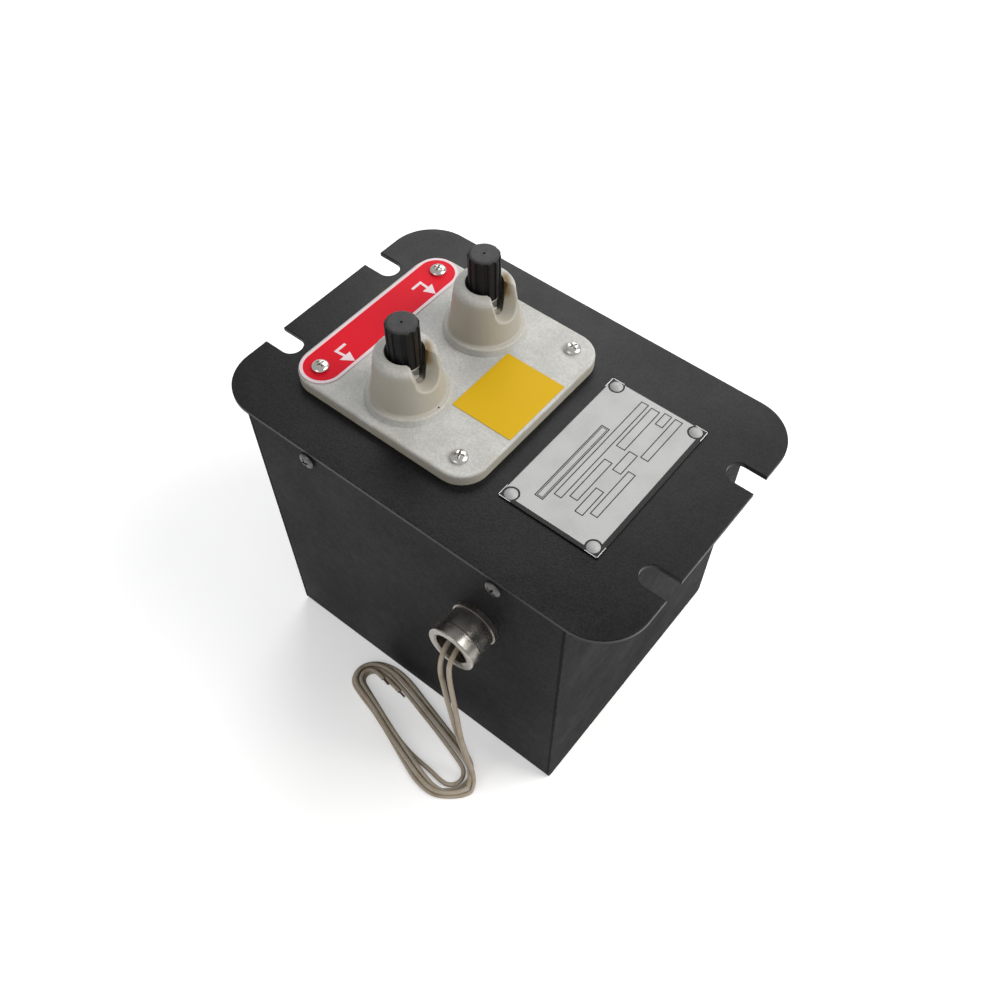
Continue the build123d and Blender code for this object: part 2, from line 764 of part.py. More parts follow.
def round_run(points, radii, radius):
    """A round lead or wire along straight runs joined by tangent arcs."""
    with BuildPart() as run:
        with BuildLine() as path:
            FilletPolyline(*points, radius=radii)
        with BuildSketch(Plane(origin=path.line @ 0, z_dir=path.line % 0)):
            Circle(radius)
        sweep()
    return run.part


# Free leads: the hanging stretch of each, from the bush straight down onto its own coil
for place, steps, coil_top in (
    ("left", left_lead_route, 2 * coil_layer),
    ("right", right_lead_route, coil_layer),
):
    route = [(nipple_x + dx, bush_face_y + dy, share * nipple_z) for dx, dy, share in steps]
    route.append((route[-1][0], route[-1][1], coil_top))
    route_radii = corner_radii(route)
    hanging_lead = round_run(route, route_radii, lead_radius)
    length = route_length(route, route_radii)
    print(place, "lead radii", [round(radius, 1) for radius in route_radii])
    print(place, "lead length", round(length, 1), "volume", round(hanging_lead.volume, 1),
          "of", round(math.pi * lead_radius**2 * length, 1))
    hanging_lead.label = f"{place}_lead"
    export_step(hanging_lead, f"parts/{place}_lead.step")

# Coils of the leads on the floor, one layer of turns each, the left lead's on top
for place, level, inset, pull in (
    ("right", 0.0, 0.0, 0.0),
    ("left", coil_layer, upper_coil_inset, upper_coil_pull),
):
    with BuildPart() as lead_coil:
        with BuildSketch(Plane.XY.offset(level)):
            with Locations(coil_left_centre):
                Circle(coil_left_radius - inset)
            with Locations((coil_right_centre[0] - pull, coil_right_centre[1])):
                Circle(coil_right_radius - inset - pull / 2)
            make_hull()
            offset(amount=-coil_band, mode=Mode.SUBTRACT)
        extrude(amount=coil_layer)
    lead_coil.part.label = f"{place}_lead_coil"
    export_step(lead_coil.part, f"parts/{place}_lead_coil.step")

# Core: laminations lying flat, an E stack closed by an I stack
with BuildPart() as core_e_stack:
    with BuildSketch(Plane.XY.offset(core_bottom)):
        with Locations((-core_leg_width / 2, 0)):
            Rectangle(core_length - core_leg_width, core_width)
        with GridLocations(1, centre_leg + core_window_width, 1, 2):
            Rectangle(core_window_length, core_window_width, mode=Mode.SUBTRACT)
        with Locations((-bolt_x, bolt_y), (-bolt_x, -bolt_y)):
            Circle(core_hole_radius, mode=Mode.SUBTRACT)
    extrude(amount=core_stack_height)
core_e_stack.part.label = "core_e_stack"
export_step(core_e_stack.part, "parts/core_e_stack.step")

with BuildPart() as core_i_stack:
    with BuildSketch(Plane.XY.offset(core_bottom)):
        with Locations((core_length / 2 - core_leg_width / 2, 0)):
            Rectangle(core_leg_width, core_width)
        with Locations((bolt_x, bolt_y), (bolt_x, -bolt_y)):
            Circle(core_hole_radius, mode=Mode.SUBTRACT)
    extrude(amount=core_stack_height)
core_i_stack.part.label = "core_i_stack"
export_step(core_i_stack.part, "parts/core_i_stack.step")

# Formers and windings on the core's centre leg
former_hole = core_leg_width + former_play
former_tube = former_hole + former_wall
sealed_parts = [core_e_stack.part, core_i_stack.part]
for place, middle, length in (
    ("primary", 0.0, primary_length),
    ("left_secondary", -secondary_x, secondary_length),
    ("right_secondary", secondary_x, secondary_length),
):
    with BuildPart() as former:
        with BuildSketch(Plane.YZ.offset(middle - length / 2)):
            with Locations((0, core_z)):
                RectangleRounded(2 * winding_half, 2 * winding_half, winding_corner_radius)
        extrude(amount=former_cheek)
        mirror(about=Plane.YZ.offset(middle))
        with BuildSketch(Plane.YZ.offset(middle - length / 2)):
            with Locations((0, core_z)):
                Rectangle(2 * former_tube, 2 * former_tube)
        extrude(amount=length)
        with BuildSketch(Plane.YZ.offset(middle - length / 2)):
            with Locations((0, core_z)):
                Rectangle(2 * former_hole, 2 * former_hole)
        extrude(amount=length, mode=Mode.SUBTRACT)
    former.part.label = f"{place}_former"
    export_step(former.part, f"parts/{place}_former.step")

    with BuildPart() as winding:
        with BuildSketch(Plane.YZ.offset(middle - length / 2 + former_cheek)):
            with Locations((0, core_z)):
                RectangleRounded(2 * winding_half, 2 * winding_half, winding_corner_radius)
                Rectangle(2 * former_tube, 2 * former_tube, mode=Mode.SUBTRACT)
        extrude(amount=length - 2 * former_cheek)
    winding.part.label = f"{place}_winding"
    export_step(winding.part, f"parts/{place}_winding.step")
    sealed_parts += [former.part, winding.part]

# Magnetic shunts across both windows, between the primary and each secondary
with BuildPart() as magnetic_shunts:
    with BuildSketch(Plane.XY.offset(core_bottom)):
        with GridLocations(2 * shunt_x, centre_leg + core_window_width, 2, 2):
            Rectangle(shunt_length, core_window_width - 2 * shunt_gap)
    extrude(amount=core_stack_height)
magnetic_shunts.part.label = "magnetic_shunts"
export_step(magnetic_shunts.part, "parts/magnetic_shunts.step")

# Clamp bars over the core's ends, and folded feet that stand it on the case's floor
with BuildPart() as clamp_bars:
    with BuildSketch(Plane.XY.offset(core_top)):
        with GridLocations(2 * bolt_x, 1, 2, 1):
            Rectangle(clamp_bar_width, core_width)
        with GridLocations(2 * bolt_x, 2 * bolt_y, 2, 2):
            Circle(core_hole_radius, mode=Mode.SUBTRACT)
    extrude(amount=clamp_bar_thickness)
clamp_bars.part.label = "clamp_bars"
export_step(clamp_bars.part, "parts/clamp_bars.step")

with BuildPart() as core_feet:
    with BuildSketch(Plane.XZ.offset(-core_width / 2)):
        with BuildLine():
            FilletPolyline(
                (bolt_x - foot_flange / 2, core_bottom),
                (bolt_x + foot_flange / 2, core_bottom),
                (bolt_x + foot_flange / 2, case_sheet),
                (bolt_x - foot_flange / 2, case_sheet),
                radius=bend_factor * foot_sheet,
            )
            offset(amount=foot_sheet, side=Side.RIGHT)
        make_face()
    extrude(amount=core_width)
    with BuildSketch(Plane.XY.offset(core_bottom - foot_sheet)):
        with Locations((bolt_x, bolt_y), (bolt_x, -bolt_y)):
            Circle(core_hole_radius)
    extrude(amount=foot_sheet, mode=Mode.SUBTRACT)
    mirror(about=Plane.YZ)
core_feet.part.label = "core_feet"
export_step(core_feet.part, "parts/core_feet.step")

# Core bolts and their nuts
bolt_seat = core_top + clamp_bar_thickness
nut_seat = core_bottom - foot_sheet
with BuildPart() as core_bolts:
    with BuildSketch(Plane.XY.offset(bolt_seat)):
        with GridLocations(2 * bolt_x, 2 * bolt_y, 2, 2):
            RegularPolygon(bolt_head_flats / 2, 6, major_radius=False)
    extrude(amount=bolt_head_height)
    with BuildSketch(Plane.XY.offset(bolt_seat)):
        with GridLocations(2 * bolt_x, 2 * bolt_y, 2, 2):
            Circle(bolt_radius)
    extrude(amount=nut_seat - bolt_nut_height - bolt_tail - bolt_seat)
core_bolts.part.label = "core_bolts"
export_step(core_bolts.part, "parts/core_bolts.step")

with BuildPart() as core_nuts:
    with BuildSketch(Plane.XY.offset(nut_seat)):
        with GridLocations(2 * bolt_x, 2 * bolt_y, 2, 2):
            RegularPolygon(bolt_head_flats / 2, 6, major_radius=False)
            Circle(bolt_radius + thread_clearance, mode=Mode.SUBTRACT)
    extrude(amount=-bolt_nut_height)
core_nuts.part.label = "core_nuts"
export_step(core_nuts.part, "parts/core_nuts.step")

# High-tension wires, one from each secondary up to the stud of its terminal
for place, secondary_middle in {"front": -secondary_x, "rear": secondary_x}.items():
    bushing_y = bushings[place]
    high_wire_route = [
        (secondary_middle, bushing_y / 2, winding_top),
        (secondary_middle, bushing_y / 2, winding_top + ht_wire_rise),
        ((secondary_middle + board_centre_x) / 2, bushing_y * ht_wire_lean, winding_top + ht_wire_slant),
        (board_centre_x, bushing_y, stud_bottom - ht_wire_drop),
        (board_centre_x, bushing_y, stud_bottom),
    ]
    high_wire = round_run(high_wire_route, corner_radii(high_wire_route), ht_wire_radius)
    high_wire.label = f"{place}_high_tension_wire"
    export_step(high_wire, f"parts/{place}_high_tension_wire.step")
    sealed_parts.append(high_wire)

# Link between the secondaries' inner ends, arched over the primary
tap_x = secondary_x - secondary_length / 2 + 2 * former_cheek
tap_route = [
    (-tap_x, 0, winding_top),
    (-tap_x, 0, winding_top + tap_rise),
    (tap_x, 0, winding_top + tap_rise),
    (tap_x, 0, winding_top),
]
centre_tap_link = round_run(tap_route, [tap_rise / 2, tap_rise / 2], tap_wire_radius)
centre_tap_link.label = "centre_tap_link"
export_step(centre_tap_link, "parts/centre_tap_link.step")

# Earth strap from a clamp bar to the front wall
with BuildPart() as earth_strap:
    with BuildSketch(Plane.YZ.offset(bolt_x - strap_width / 2)):
        with BuildLine():
            FilletPolyline(
                (strap_inset - core_width / 2, bolt_seat),
                (-wall_inner_y, bolt_seat),
                (-wall_inner_y, bolt_seat + strap_rise),
                radius=bend_factor * strap_thickness,
            )
            offset(amount=strap_thickness, side=Side.RIGHT)
        make_face()
    extrude(amount=strap_width)
earth_strap.part.label = "earth_strap"
export_step(earth_strap.part, "parts/earth_strap.step")

# Primary tails, from the winding up to the bush in the nipple
tail_parts = []
for side_sign in (-1, 1):
    tail_route = [
        (side_sign * tail_spacing, -former_tube / 2, winding_top),
        (side_sign * tail_spacing, -former_tube / 2, winding_top + tail_rise),
        (nipple_x / 2 + side_sign * tail_spacing, bush_inner_y + tail_slant, nipple_z - tail_dip),
        (nipple_x + side_sign * tail_spacing / 2, bush_inner_y + tail_straight, nipple_z),
        (nipple_x + side_sign * tail_spacing / 2, bush_inner_y, nipple_z),
    ]
    tail_parts.append(round_run(tail_route, corner_radii(tail_route), tail_radius))
with BuildPart() as primary_tails:
    add(tail_parts)
primary_tails.part.label = "primary_tails"
export_step(primary_tails.part, "parts/primary_tails.step")

# Filling poured round the core and coils, up to its own level
sealed_parts += [magnetic_shunts.part, clamp_bars.part, core_feet.part, core_bolts.part, core_nuts.part]
sealed_parts += [centre_tap_link, earth_strap.part, primary_tails.part]
with BuildPart() as filling:
    with BuildSketch(Plane.YZ.offset(-wall_inner_x)):
        with Locations((0, (case_sheet + filling_level) / 2)):
            Rectangle(2 * wall_inner_y, filling_level - case_sheet)
        fillet(vertices().group_by(Axis.Y)[0], case_bend_radius - case_sheet)
    extrude(amount=2 * wall_inner_x)
    add(sealed_parts, mode=Mode.SUBTRACT)
filling.part.label = "filling"
export_step(filling.part, "parts/filling.step")
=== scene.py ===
"""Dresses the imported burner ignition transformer: finishes, printed films, free leads and studio.

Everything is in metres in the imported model's own frame: origin at the centre of the case's
underside, +X towards the nameplate, -Y out of the wall with the conduit nipple, +Z up.
"""

import logging
import math
from bisect import bisect_left
from dataclasses import dataclass
from enum import Enum
from typing import Callable, Iterable, Sequence

import bmesh
import bpy
from mathutils import Euler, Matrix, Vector


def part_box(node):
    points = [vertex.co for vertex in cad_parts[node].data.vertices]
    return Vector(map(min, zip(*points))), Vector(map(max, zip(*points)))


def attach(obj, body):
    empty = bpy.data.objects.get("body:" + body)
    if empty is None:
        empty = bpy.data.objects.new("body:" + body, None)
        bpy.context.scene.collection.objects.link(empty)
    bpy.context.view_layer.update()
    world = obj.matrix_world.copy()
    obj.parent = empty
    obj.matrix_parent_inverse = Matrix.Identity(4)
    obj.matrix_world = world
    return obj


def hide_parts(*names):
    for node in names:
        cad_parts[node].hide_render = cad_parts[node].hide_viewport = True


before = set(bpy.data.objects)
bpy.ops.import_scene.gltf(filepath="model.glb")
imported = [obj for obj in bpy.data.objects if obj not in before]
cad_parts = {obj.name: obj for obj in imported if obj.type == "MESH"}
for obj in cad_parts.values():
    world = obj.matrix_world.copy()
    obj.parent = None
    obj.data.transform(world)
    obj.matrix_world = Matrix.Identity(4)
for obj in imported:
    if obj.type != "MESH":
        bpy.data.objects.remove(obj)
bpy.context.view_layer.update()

log = logging.getLogger("transformer")
MM = 0.001
FULL_TURN = 2 * math.pi
ARC_STEPS = 14
CIRCLE_STEPS = 40
HOUSING = "transformer"
PLACES = ("front", "rear")
COILS = ("primary", "left_secondary", "right_secondary")

Colour = tuple[float, float, float]
Point = tuple[float, float, float]
Node = bpy.types.Node
Socket = bpy.types.NodeSocket
Sockets = dict[str, Socket]


class Section(Enum):
    """A station round a coil of lead, as a share of one turn, in the order the lead passes them."""

    RIGHT_END = 0.0
    FRONT_LOBE = 0.06
    FRONT_RIGHT = 0.13
    FRONT_BULGE = 0.20
    FRONT_MIDDLE = 0.29
    FRONT_LEFT = 0.38
    LEFT_FRONT = 0.47
    LEFT_REAR = 0.54
    REAR_LEFT = 0.62
    REAR_MIDDLE = 0.70
    REAR_RIGHT = 0.79
    RIGHT_REAR = 0.90


class Tree:
    """Writes one node tree: makes nodes, sets their values and links their sockets."""

    def __init__(self, tree: bpy.types.NodeTree) -> None:
        """Keeps the tree that the nodes go into."""
        self.tree = tree

    def feed(self, socket: Socket, value: object) -> None:
        """Links a socket to another, or sets its value."""
        if isinstance(value, Socket):
            self.tree.links.new(value, socket)
        else:
            socket.default_value = value

    def add(
        self, kind: str, inputs: dict[str | int, object] | None = None, **settings: object
    ) -> Node:
        """Makes a node.

        Args:
            kind: Blender's name for the node's type.
            inputs: values or sockets for its inputs, by name or by place.
            settings: the node's own properties.

        Returns:
            The node.
        """
        node = self.tree.nodes.new(kind)
        for name, value in settings.items():
            setattr(node, name, value)
        for key, value in (inputs or {}).items():
            self.feed(node.inputs[key], value)
        return node

    def math(self, operation: str, *values: object, clamp: bool = False) -> Socket:
        """Does one sum on numbers or sockets and returns its result."""
        node = self.add("ShaderNodeMath", operation=operation, use_clamp=clamp)
        for socket, value in zip(node.inputs, values):
            self.feed(socket, value)
        return node.outputs[0]

    def times(self, product: object, *factors: object) -> Socket:
        """The product of numbers or sockets."""
        for factor in factors:
            product = self.math("MULTIPLY", product, factor)
        return product

    def vector(self, operation: str, first: object, second: object) -> bpy.types.NodeOutputs:
        """Does one sum on two points or vectors: output 0 is a vector, "Value" a number."""
        inputs = {0: first, 1: second}
        return self.add("ShaderNodeVectorMath", inputs, operation=operation).outputs

    def mix(self, factor: object, low: object, high: object) -> Socket:
        """Mixes two colours by a factor and returns the colour."""
        node = self.add("ShaderNodeMix", data_type="RGBA")
        for place, value in ((0, factor), (6, low), (7, high)):
            self.feed(node.inputs[place], value + (1.0,) if isinstance(value, tuple) else value)
        return node.outputs[2]

    def layers(self, base: object, *coats: tuple[object, Colour]) -> Socket:
        """A colour with others laid over it in turn, each by its own mask."""
        for mask, colour in coats:
            base = self.mix(mask, base, colour)
        return base

    def ramp(
        self, value: object, start: float, end: float, low: float = 0.0, high: float = 1.0
    ) -> Socket:
        """Maps a value from start..end to low..high, clamped and with soft ends."""
        inputs = {0: value, 1: start, 2: end, 3: low, 4: high}
        return self.add("ShaderNodeMapRange", inputs, interpolation_type="SMOOTHSTEP").outputs[0]

    def noise(self, at: object, scale: float, detail: float = 2.0, rough: float = 0.5) -> Socket:
        """Smooth noise from 0 to 1 at a place, with scale in features a metre."""
        inputs = {"Vector": at, "Scale": scale, "Detail": detail, "Roughness": rough}
        return self.add("ShaderNodeTexNoise", inputs).outputs[0]

    def place(self) -> Socket:
        """The shaded point, in metres in the frame."""
        return self.add("ShaderNodeTexCoord").outputs["Object"]

    def axes(self, at: object) -> list[Socket]:
        """The three coordinates of a point or vector."""
        return list(self.add("ShaderNodeSeparateXYZ", {0: at}).outputs)

    def upward(self) -> Socket:
        """How far the surface faces up, 1 where it is level."""
        return self.axes(self.add("ShaderNodeNewGeometry").outputs["Normal"])[2]


class Effect:
    """A node group that several finishes share, built once."""

    def __init__(
        self,
        name: str,
        inputs: dict[str, float | Point],
        outputs: Sequence[str],
        build: Callable[[Tree, Sockets], Sockets],
    ) -> None:
        """Makes the group.

        Args:
            name: the group's name.
            inputs: each input's name and default, a number or a vector.
            outputs: the names of its outputs, all numbers.
            build: fills the tree from its input sockets and returns a socket for each output.
        """
        self.group = bpy.data.node_groups.new(name, "ShaderNodeTree")
        face = self.group.interface
        for key, default in inputs.items():
            kind = "NodeSocketVector" if isinstance(default, tuple) else "NodeSocketFloat"
            face.new_socket(key, in_out="INPUT", socket_type=kind).default_value = default
        for key in outputs:
            face.new_socket(key, in_out="OUTPUT", socket_type="NodeSocketFloat")
        tree = Tree(self.group)
        given = tree.add("NodeGroupInput")
        taken = tree.add("NodeGroupOutput")
        results = build(tree, {key: given.outputs[key] for key in inputs})
        for key, socket in results.items():
            tree.feed(taken.inputs[key], socket)

    def use(self, tree: Tree, **values: object) -> bpy.types.NodeOutputs:
        """Places the group in a tree with its own values and returns its outputs."""
        node = tree.add("ShaderNodeGroup", node_tree=self.group)
        for key, value in values.items():
            tree.feed(node.inputs[key.title()], value)
        return node.outputs


class Effects:
    """The effects that the finishes share."""

    def __init__(self) -> None:
        """Builds every shared effect once."""
        box = {"Low": (0.0, 0.0, 0.0), "High": (1.0, 1.0, 1.0), "Width": 1.0 * MM, "Scale": 300.0}
        self.edge_wear = Effect("edge wear", box, ("Mask",), self._edge_wear)
        scales = {"Scale": 40.0, "Fine": 400.0}
        self.blotches = Effect("blotches", scales, ("Value",), self._blotches)
        self.grain = Effect("grain", {"Scale": 1200.0}, ("Height", "Mottle"), self._grain)
        self.dust = Effect("dust", {"Amount": 0.3, "Scale": 90.0}, ("Mask",), self._dust)
        lathe = {"Along": 0.0, "Pitch": 0.4 * MM}
        self.turning = Effect("turning marks", lathe, ("Height",), self._turning)

    @staticmethod
    def _edge_wear(tree: Tree, given: Sockets) -> Sockets:
        """Marks the points near a box's edges, broken up by noise."""
        at = tree.place()
        from_low = tree.vector("SUBTRACT", at, given["Low"])[0]
        from_high = tree.vector("SUBTRACT", given["High"], at)[0]
        x, y, z = tree.axes(tree.vector("MINIMUM", from_low, from_high)[0])
        lower = tree.math("MINIMUM", x, y)
        upper = tree.math("MAXIMUM", x, y)
        second = tree.math("MAXIMUM", lower, tree.math("MINIMUM", upper, z))
        share = tree.math("DIVIDE", second, given["Width"])
        close = tree.math("SUBTRACT", 1.0, share, clamp=True)
        breaks = tree.ramp(tree.noise(at, given["Scale"], 3.0), 0.42, 0.62)
        return {"Mask": tree.times(close, breaks)}

    @staticmethod
    def _blotches(tree: Tree, given: Sockets) -> Sockets:
        """Slow variation over the surface with a finer one on it, centred on a half."""
        at = tree.place()
        slow = tree.noise(at, given["Scale"], 3.0)
        fine = tree.noise(at, given["Fine"], 4.0, 0.65)
        return {"Value": tree.math("ADD", tree.times(slow, 0.6), tree.times(fine, 0.4))}

    @staticmethod
    def _grain(tree: Tree, given: Sockets) -> Sockets:
        """The pebbled skin of a powder coat, and its fine light and dark mottle."""
        at = tree.place()
        cells = {"Vector": at, "Scale": given["Scale"]}
        pebbles = tree.add("ShaderNodeTexVoronoi", cells, feature="SMOOTH_F1").outputs[0]
        rough = tree.noise(at, given["Scale"], 3.0, 0.6)
        height = tree.math("ADD", tree.times(pebbles, -0.7), tree.times(rough, 0.6))
        mottle = tree.ramp(tree.noise(at, given["Scale"], 2.0, 0.8), 0.36, 0.64)
        return {"Height": height, "Mottle": mottle}

    @staticmethod
    def _dust(tree: Tree, given: Sockets) -> Sockets:
        """Dust that lies in drifts on surfaces that face up."""
        lying = tree.ramp(tree.upward(), 0.3, 0.95)
        drifts = tree.ramp(tree.noise(tree.place(), given["Scale"], 6.0, 0.7), 0.35, 0.75)
        return {"Mask": tree.times(lying, drifts, given["Amount"])}

    @staticmethod
    def _turning(tree: Tree, given: Sockets) -> Sockets:
        """Fine lines across an axis, as a lathe or a brush leaves them."""
        step = tree.math("DIVIDE", given["Along"], given["Pitch"])
        inputs = {"W": step, "Scale": 1.0, "Detail": 3.0}
        return {"Height": tree.add("ShaderNodeTexNoise", inputs, noise_dimensions="1D").outputs[0]}


effects = Effects()


def shaded(colour: Colour, factor: float) -> Colour:
    """A colour made darker or lighter by a factor."""
    return tuple(factor * part for part in colour)


@dataclass(frozen=True)
class Finish:
    """A finish: one procedural material, made once for all the pieces that have it."""

    name: str
    colour: Colour
    roughness: float = 0.5
    specular: float = 0.5
    relief: float = 0.05 * MM
    relief_strength: float = 0.6

    def material(self) -> bpy.types.Material:
        """The finish's material, built on its first use."""
        found = bpy.data.materials.get(self.name)
        if found is not None:
            return found
        material = bpy.data.materials.new(self.name)
        material.use_nodes = True
        material.diffuse_color = (*self.colour, 1.0)
        shader = material.node_tree.nodes["Principled BSDF"]
        shader.inputs["Roughness"].default_value = self.roughness
        shader.inputs["Specular IOR Level"].default_value = self.specular
        self.paint(Tree(material.node_tree), shader)
        return material

    def paint(self, tree: Tree, shader: Node) -> None:
        """Gives the shader its colour and its relief, each finish in its own way."""
        raise NotImplementedError

    def cover(self, tree: Tree, shader: Node, base: Socket, height: Socket) -> None:
        """Feeds the shader its colour, and a relief as deep as the finish's own."""
        tree.feed(shader.inputs["Base Color"], base)
        inputs = {"Height": height, "Distance": self.relief, "Strength": self.relief_strength}
        tree.feed(shader.inputs["Normal"], tree.add("ShaderNodeBump", inputs).outputs[0])

    def roughen(self, tree: Tree, shader: Node, by: Socket, less: float, more: float) -> None:
        """Lets the roughness follow a value, from less below the finish's own to more above it."""
        spread = tree.ramp(by, 0.3, 0.7, self.roughness - less, self.roughness + more)
        tree.feed(shader.inputs["Roughness"], spread)


@dataclass(frozen=True)
class PowderCoat(Finish):
    """Finely textured charcoal powder coat on sheet steel, slightly paler at the sheet's edges."""

    relief: float = 0.08 * MM
    relief_strength: float = 0.55
    worn: Colour = (0.05, 0.048, 0.046)
    worn_width: float = 0.5 * MM
    dust: Colour = (0.06, 0.058, 0.055)
    dust_amount: float = 0.05
    low: Point = (0.0, 0.0, 0.0)
    high: Point = (1.0, 1.0, 1.0)
    pebble: float = 1100.0
    mottle: float = 0.55
    seam_x: float = 0.0
    seam_width: float = 0.35 * MM
    seam_wander: float = 0.25 * MM

    def paint(self, tree: Tree, shader: Node) -> None:
        """A fine mottle with slow variation, thin dust and paler edges over a pebbled relief."""
        skin = effects.grain.use(tree, scale=self.pebble)
        light = shaded(self.colour, 1 + self.mottle)
        blotch = effects.blotches.use(tree, scale=24.0, fine=160.0)[0]
        box = {"low": self.low, "high": self.high, "width": self.worn_width}
        worn = effects.edge_wear.use(tree, scale=900.0, **box)[0]
        base = tree.layers(
            shaded(self.colour, 1 - self.mottle),
            (skin["Mottle"], light),
            (tree.ramp(blotch, 0.35, 0.65, 0.0, 0.22), light),
            (effects.dust.use(tree, amount=self.dust_amount, scale=45.0)[0], self.dust),
            (tree.times(worn, 0.6), self.worn),
        )
        if self.seam_x:
            base = tree.mix(tree.times(self._seam(tree), 0.8), base, shaded(self.colour, 0.3))
        self.cover(tree, shader, base, skin["Height"])
        self.roughen(tree, shader, blotch, 0.06, 0.06)

    def _seam(self, tree: Tree) -> Socket:
        """A mask of the lapped seams, upright lines at the same distance left and right."""
        at = tree.place()
        across = tree.math("ABSOLUTE", tree.axes(at)[0])
        off = tree.math("ABSOLUTE", tree.math("SUBTRACT", across, self.seam_x))
        wander = tree.times(tree.noise(at, 220.0), self.seam_wander)
        return tree.ramp(tree.math("SUBTRACT", off, wander), self.seam_width, 0.0)


@dataclass(frozen=True)
class BoardMoulding(Finish):
    """The board's off-white moulding: creamy cones with painted shade down their sides, yellowed
    edges, and amber with painted shade in the notches.
    """

    relief: float = 0.10 * MM
    edge: Colour = (0.36, 0.32, 0.23)
    edge_width: float = 2.2 * MM
    # The cones' cream tint, made darker as painted shade on their sides.
    shade: Colour = (0.37, 0.34, 0.275)
    # Amber stain colour, dark enough to carry painted shade as well.
    amber: Colour = (0.17, 0.11, 0.035)
    # Soil colour, also used for painted shade in the socket bores.
    soil: Colour = (0.16, 0.14, 0.11)
    chip: Colour = (0.02, 0.015, 0.012)
    sockets: tuple[tuple[float, float], ...] = ()
    socket_radius: float = 8.2 * MM
    cone_radius: float = 15.7 * MM
    foot_radius: float = 18.7 * MM
    stain_reach: float = 13.0 * MM
    flat_level: float = 0.0
    rim_level: float = 1.0
    chip_place: Point = (-16.5 * MM, -24.1 * MM, 163.4 * MM)
    chip_radius: float = 0.75 * MM
    low: Point = (0.0, 0.0, 0.0)
    high: Point = (1.0, 1.0, 1.0)
    glow: float = 0.10
    glow_depth: float = 1.5 * MM
    glow_share: Colour = (1.0, 0.8, 0.55)

    def paint(self, tree: Tree, shader: Node) -> None:
        """Colour by place: flat board, cones, notches and edges, with faint soil over all, and
        painted shade on the cones, in the notches and in the socket bores.
        """
        at = tree.place()
        level = tree.axes(at)[2]
        flat, rim = self.flat_level, self.rim_level
        blotch = effects.blotches.use(tree, scale=55.0, fine=700.0)[0]
        speckle = effects.grain.use(tree, scale=1300.0)["Mottle"]
        nearest, shaded_side = self._bushings(tree, at)
        above = tree.ramp(level, flat + 0.2 * MM, flat + 3.4 * MM)
        foot, side, bore = self.foot_radius, self.cone_radius, self.socket_radius
        # Cone colour: partly the cream tint, partly painted shade, strongest low on the cone's side
        # and weak at its rim and foot.
        cone_tint_and_shade = tree.times(
            above,
            tree.ramp(nearest, foot + 0.4 * MM, foot - 0.6 * MM),
            tree.ramp(nearest, side + 1.4 * MM, side + 0.2 * MM, 0.45, 1.0),
            tree.ramp(blotch, 0.3, 0.7, 0.70, 0.90),
            tree.ramp(level, rim - 5.0 * MM, rim - 0.8 * MM, 1.0, 0.2),
        )
        # Amber stain with painted shade, on the socket's side away from the key lamp.
        high = tree.ramp(level, rim - 8.5 * MM, rim - 4.0 * MM)
        amber_stain_and_shade = tree.times(shaded_side, high, tree.ramp(blotch, 0.3, 0.6, 0.75, 1.0), above)
        box = {"low": self.low, "high": self.high, "width": self.edge_width}
        worn = effects.edge_wear.use(tree, scale=120.0, **box)[0]
        specks = tree.noise(at, 380.0, 5.0, 0.75)
        gap = tree.vector("DISTANCE", at, self.chip_place)["Value"]
        base = tree.layers(
            shaded(self.colour, 0.86),
            (tree.ramp(blotch, 0.36, 0.64), shaded(self.colour, 1.10)),
            (tree.times(speckle, 0.22), self.soil),
            (cone_tint_and_shade, self.shade),
            (amber_stain_and_shade, self.amber),
            # Painted shade inside each socket's bore, laid in the soil colour.
            (tree.times(tree.ramp(nearest, bore + 0.25 * MM, bore), above, 0.6), self.soil),
            (tree.times(worn, 0.4), self.edge),
            (tree.ramp(level, flat - 0.8 * MM, flat - 2.2 * MM, 0.0, 0.6), self.edge),
            (tree.ramp(specks, 0.64, 0.80, 0.0, 0.30), self.soil),
            (tree.ramp(gap, self.chip_radius, self.chip_radius / 2), self.chip),
        )
        self.cover(tree, shader, base, tree.noise(at, 900.0, 5.0, 0.7))
        self.roughen(tree, shader, blotch, 0.08, 0.08)
        shader.inputs["Subsurface Weight"].default_value = self.glow
        shader.inputs["Subsurface Radius"].default_value = self.glow_share
        shader.inputs["Subsurface Scale"].default_value = self.glow_depth

    def _bushings(self, tree: Tree, at: Socket) -> tuple[Socket, Socket]:
        """The distance to the nearer bushing's axis, and a mask of each socket's stained and shaded
        side, away from the key lamp.

        Args:
            tree: the material's tree.
            at: the shaded point.

        Returns:
            The distance in metres, and the mask.
        """
        x, y, _ = tree.axes(at)
        reaches, sides = [], []
        for centre_x, centre_y in self.sockets:
            along = tree.math("SUBTRACT", x, centre_x)
            across = tree.math("SUBTRACT", y, centre_y)
            squares = tree.math("ADD", tree.times(along, along), tree.times(across, across))
            reach = tree.math("SQRT", squares)
            inside = tree.ramp(reach, self.stain_reach, self.socket_radius + 1.0 * MM)
            rightward = tree.ramp(along, 1.0 * MM, 5.0 * MM)
            rearward = tree.ramp(across, -2.5 * MM, 1.0 * MM, 0.15, 1.0)
            reaches.append(reach)
            sides.append(tree.times(inside, rightward, rearward))
        return tree.math("MINIMUM", *reaches), tree.math("MAXIMUM", *sides)


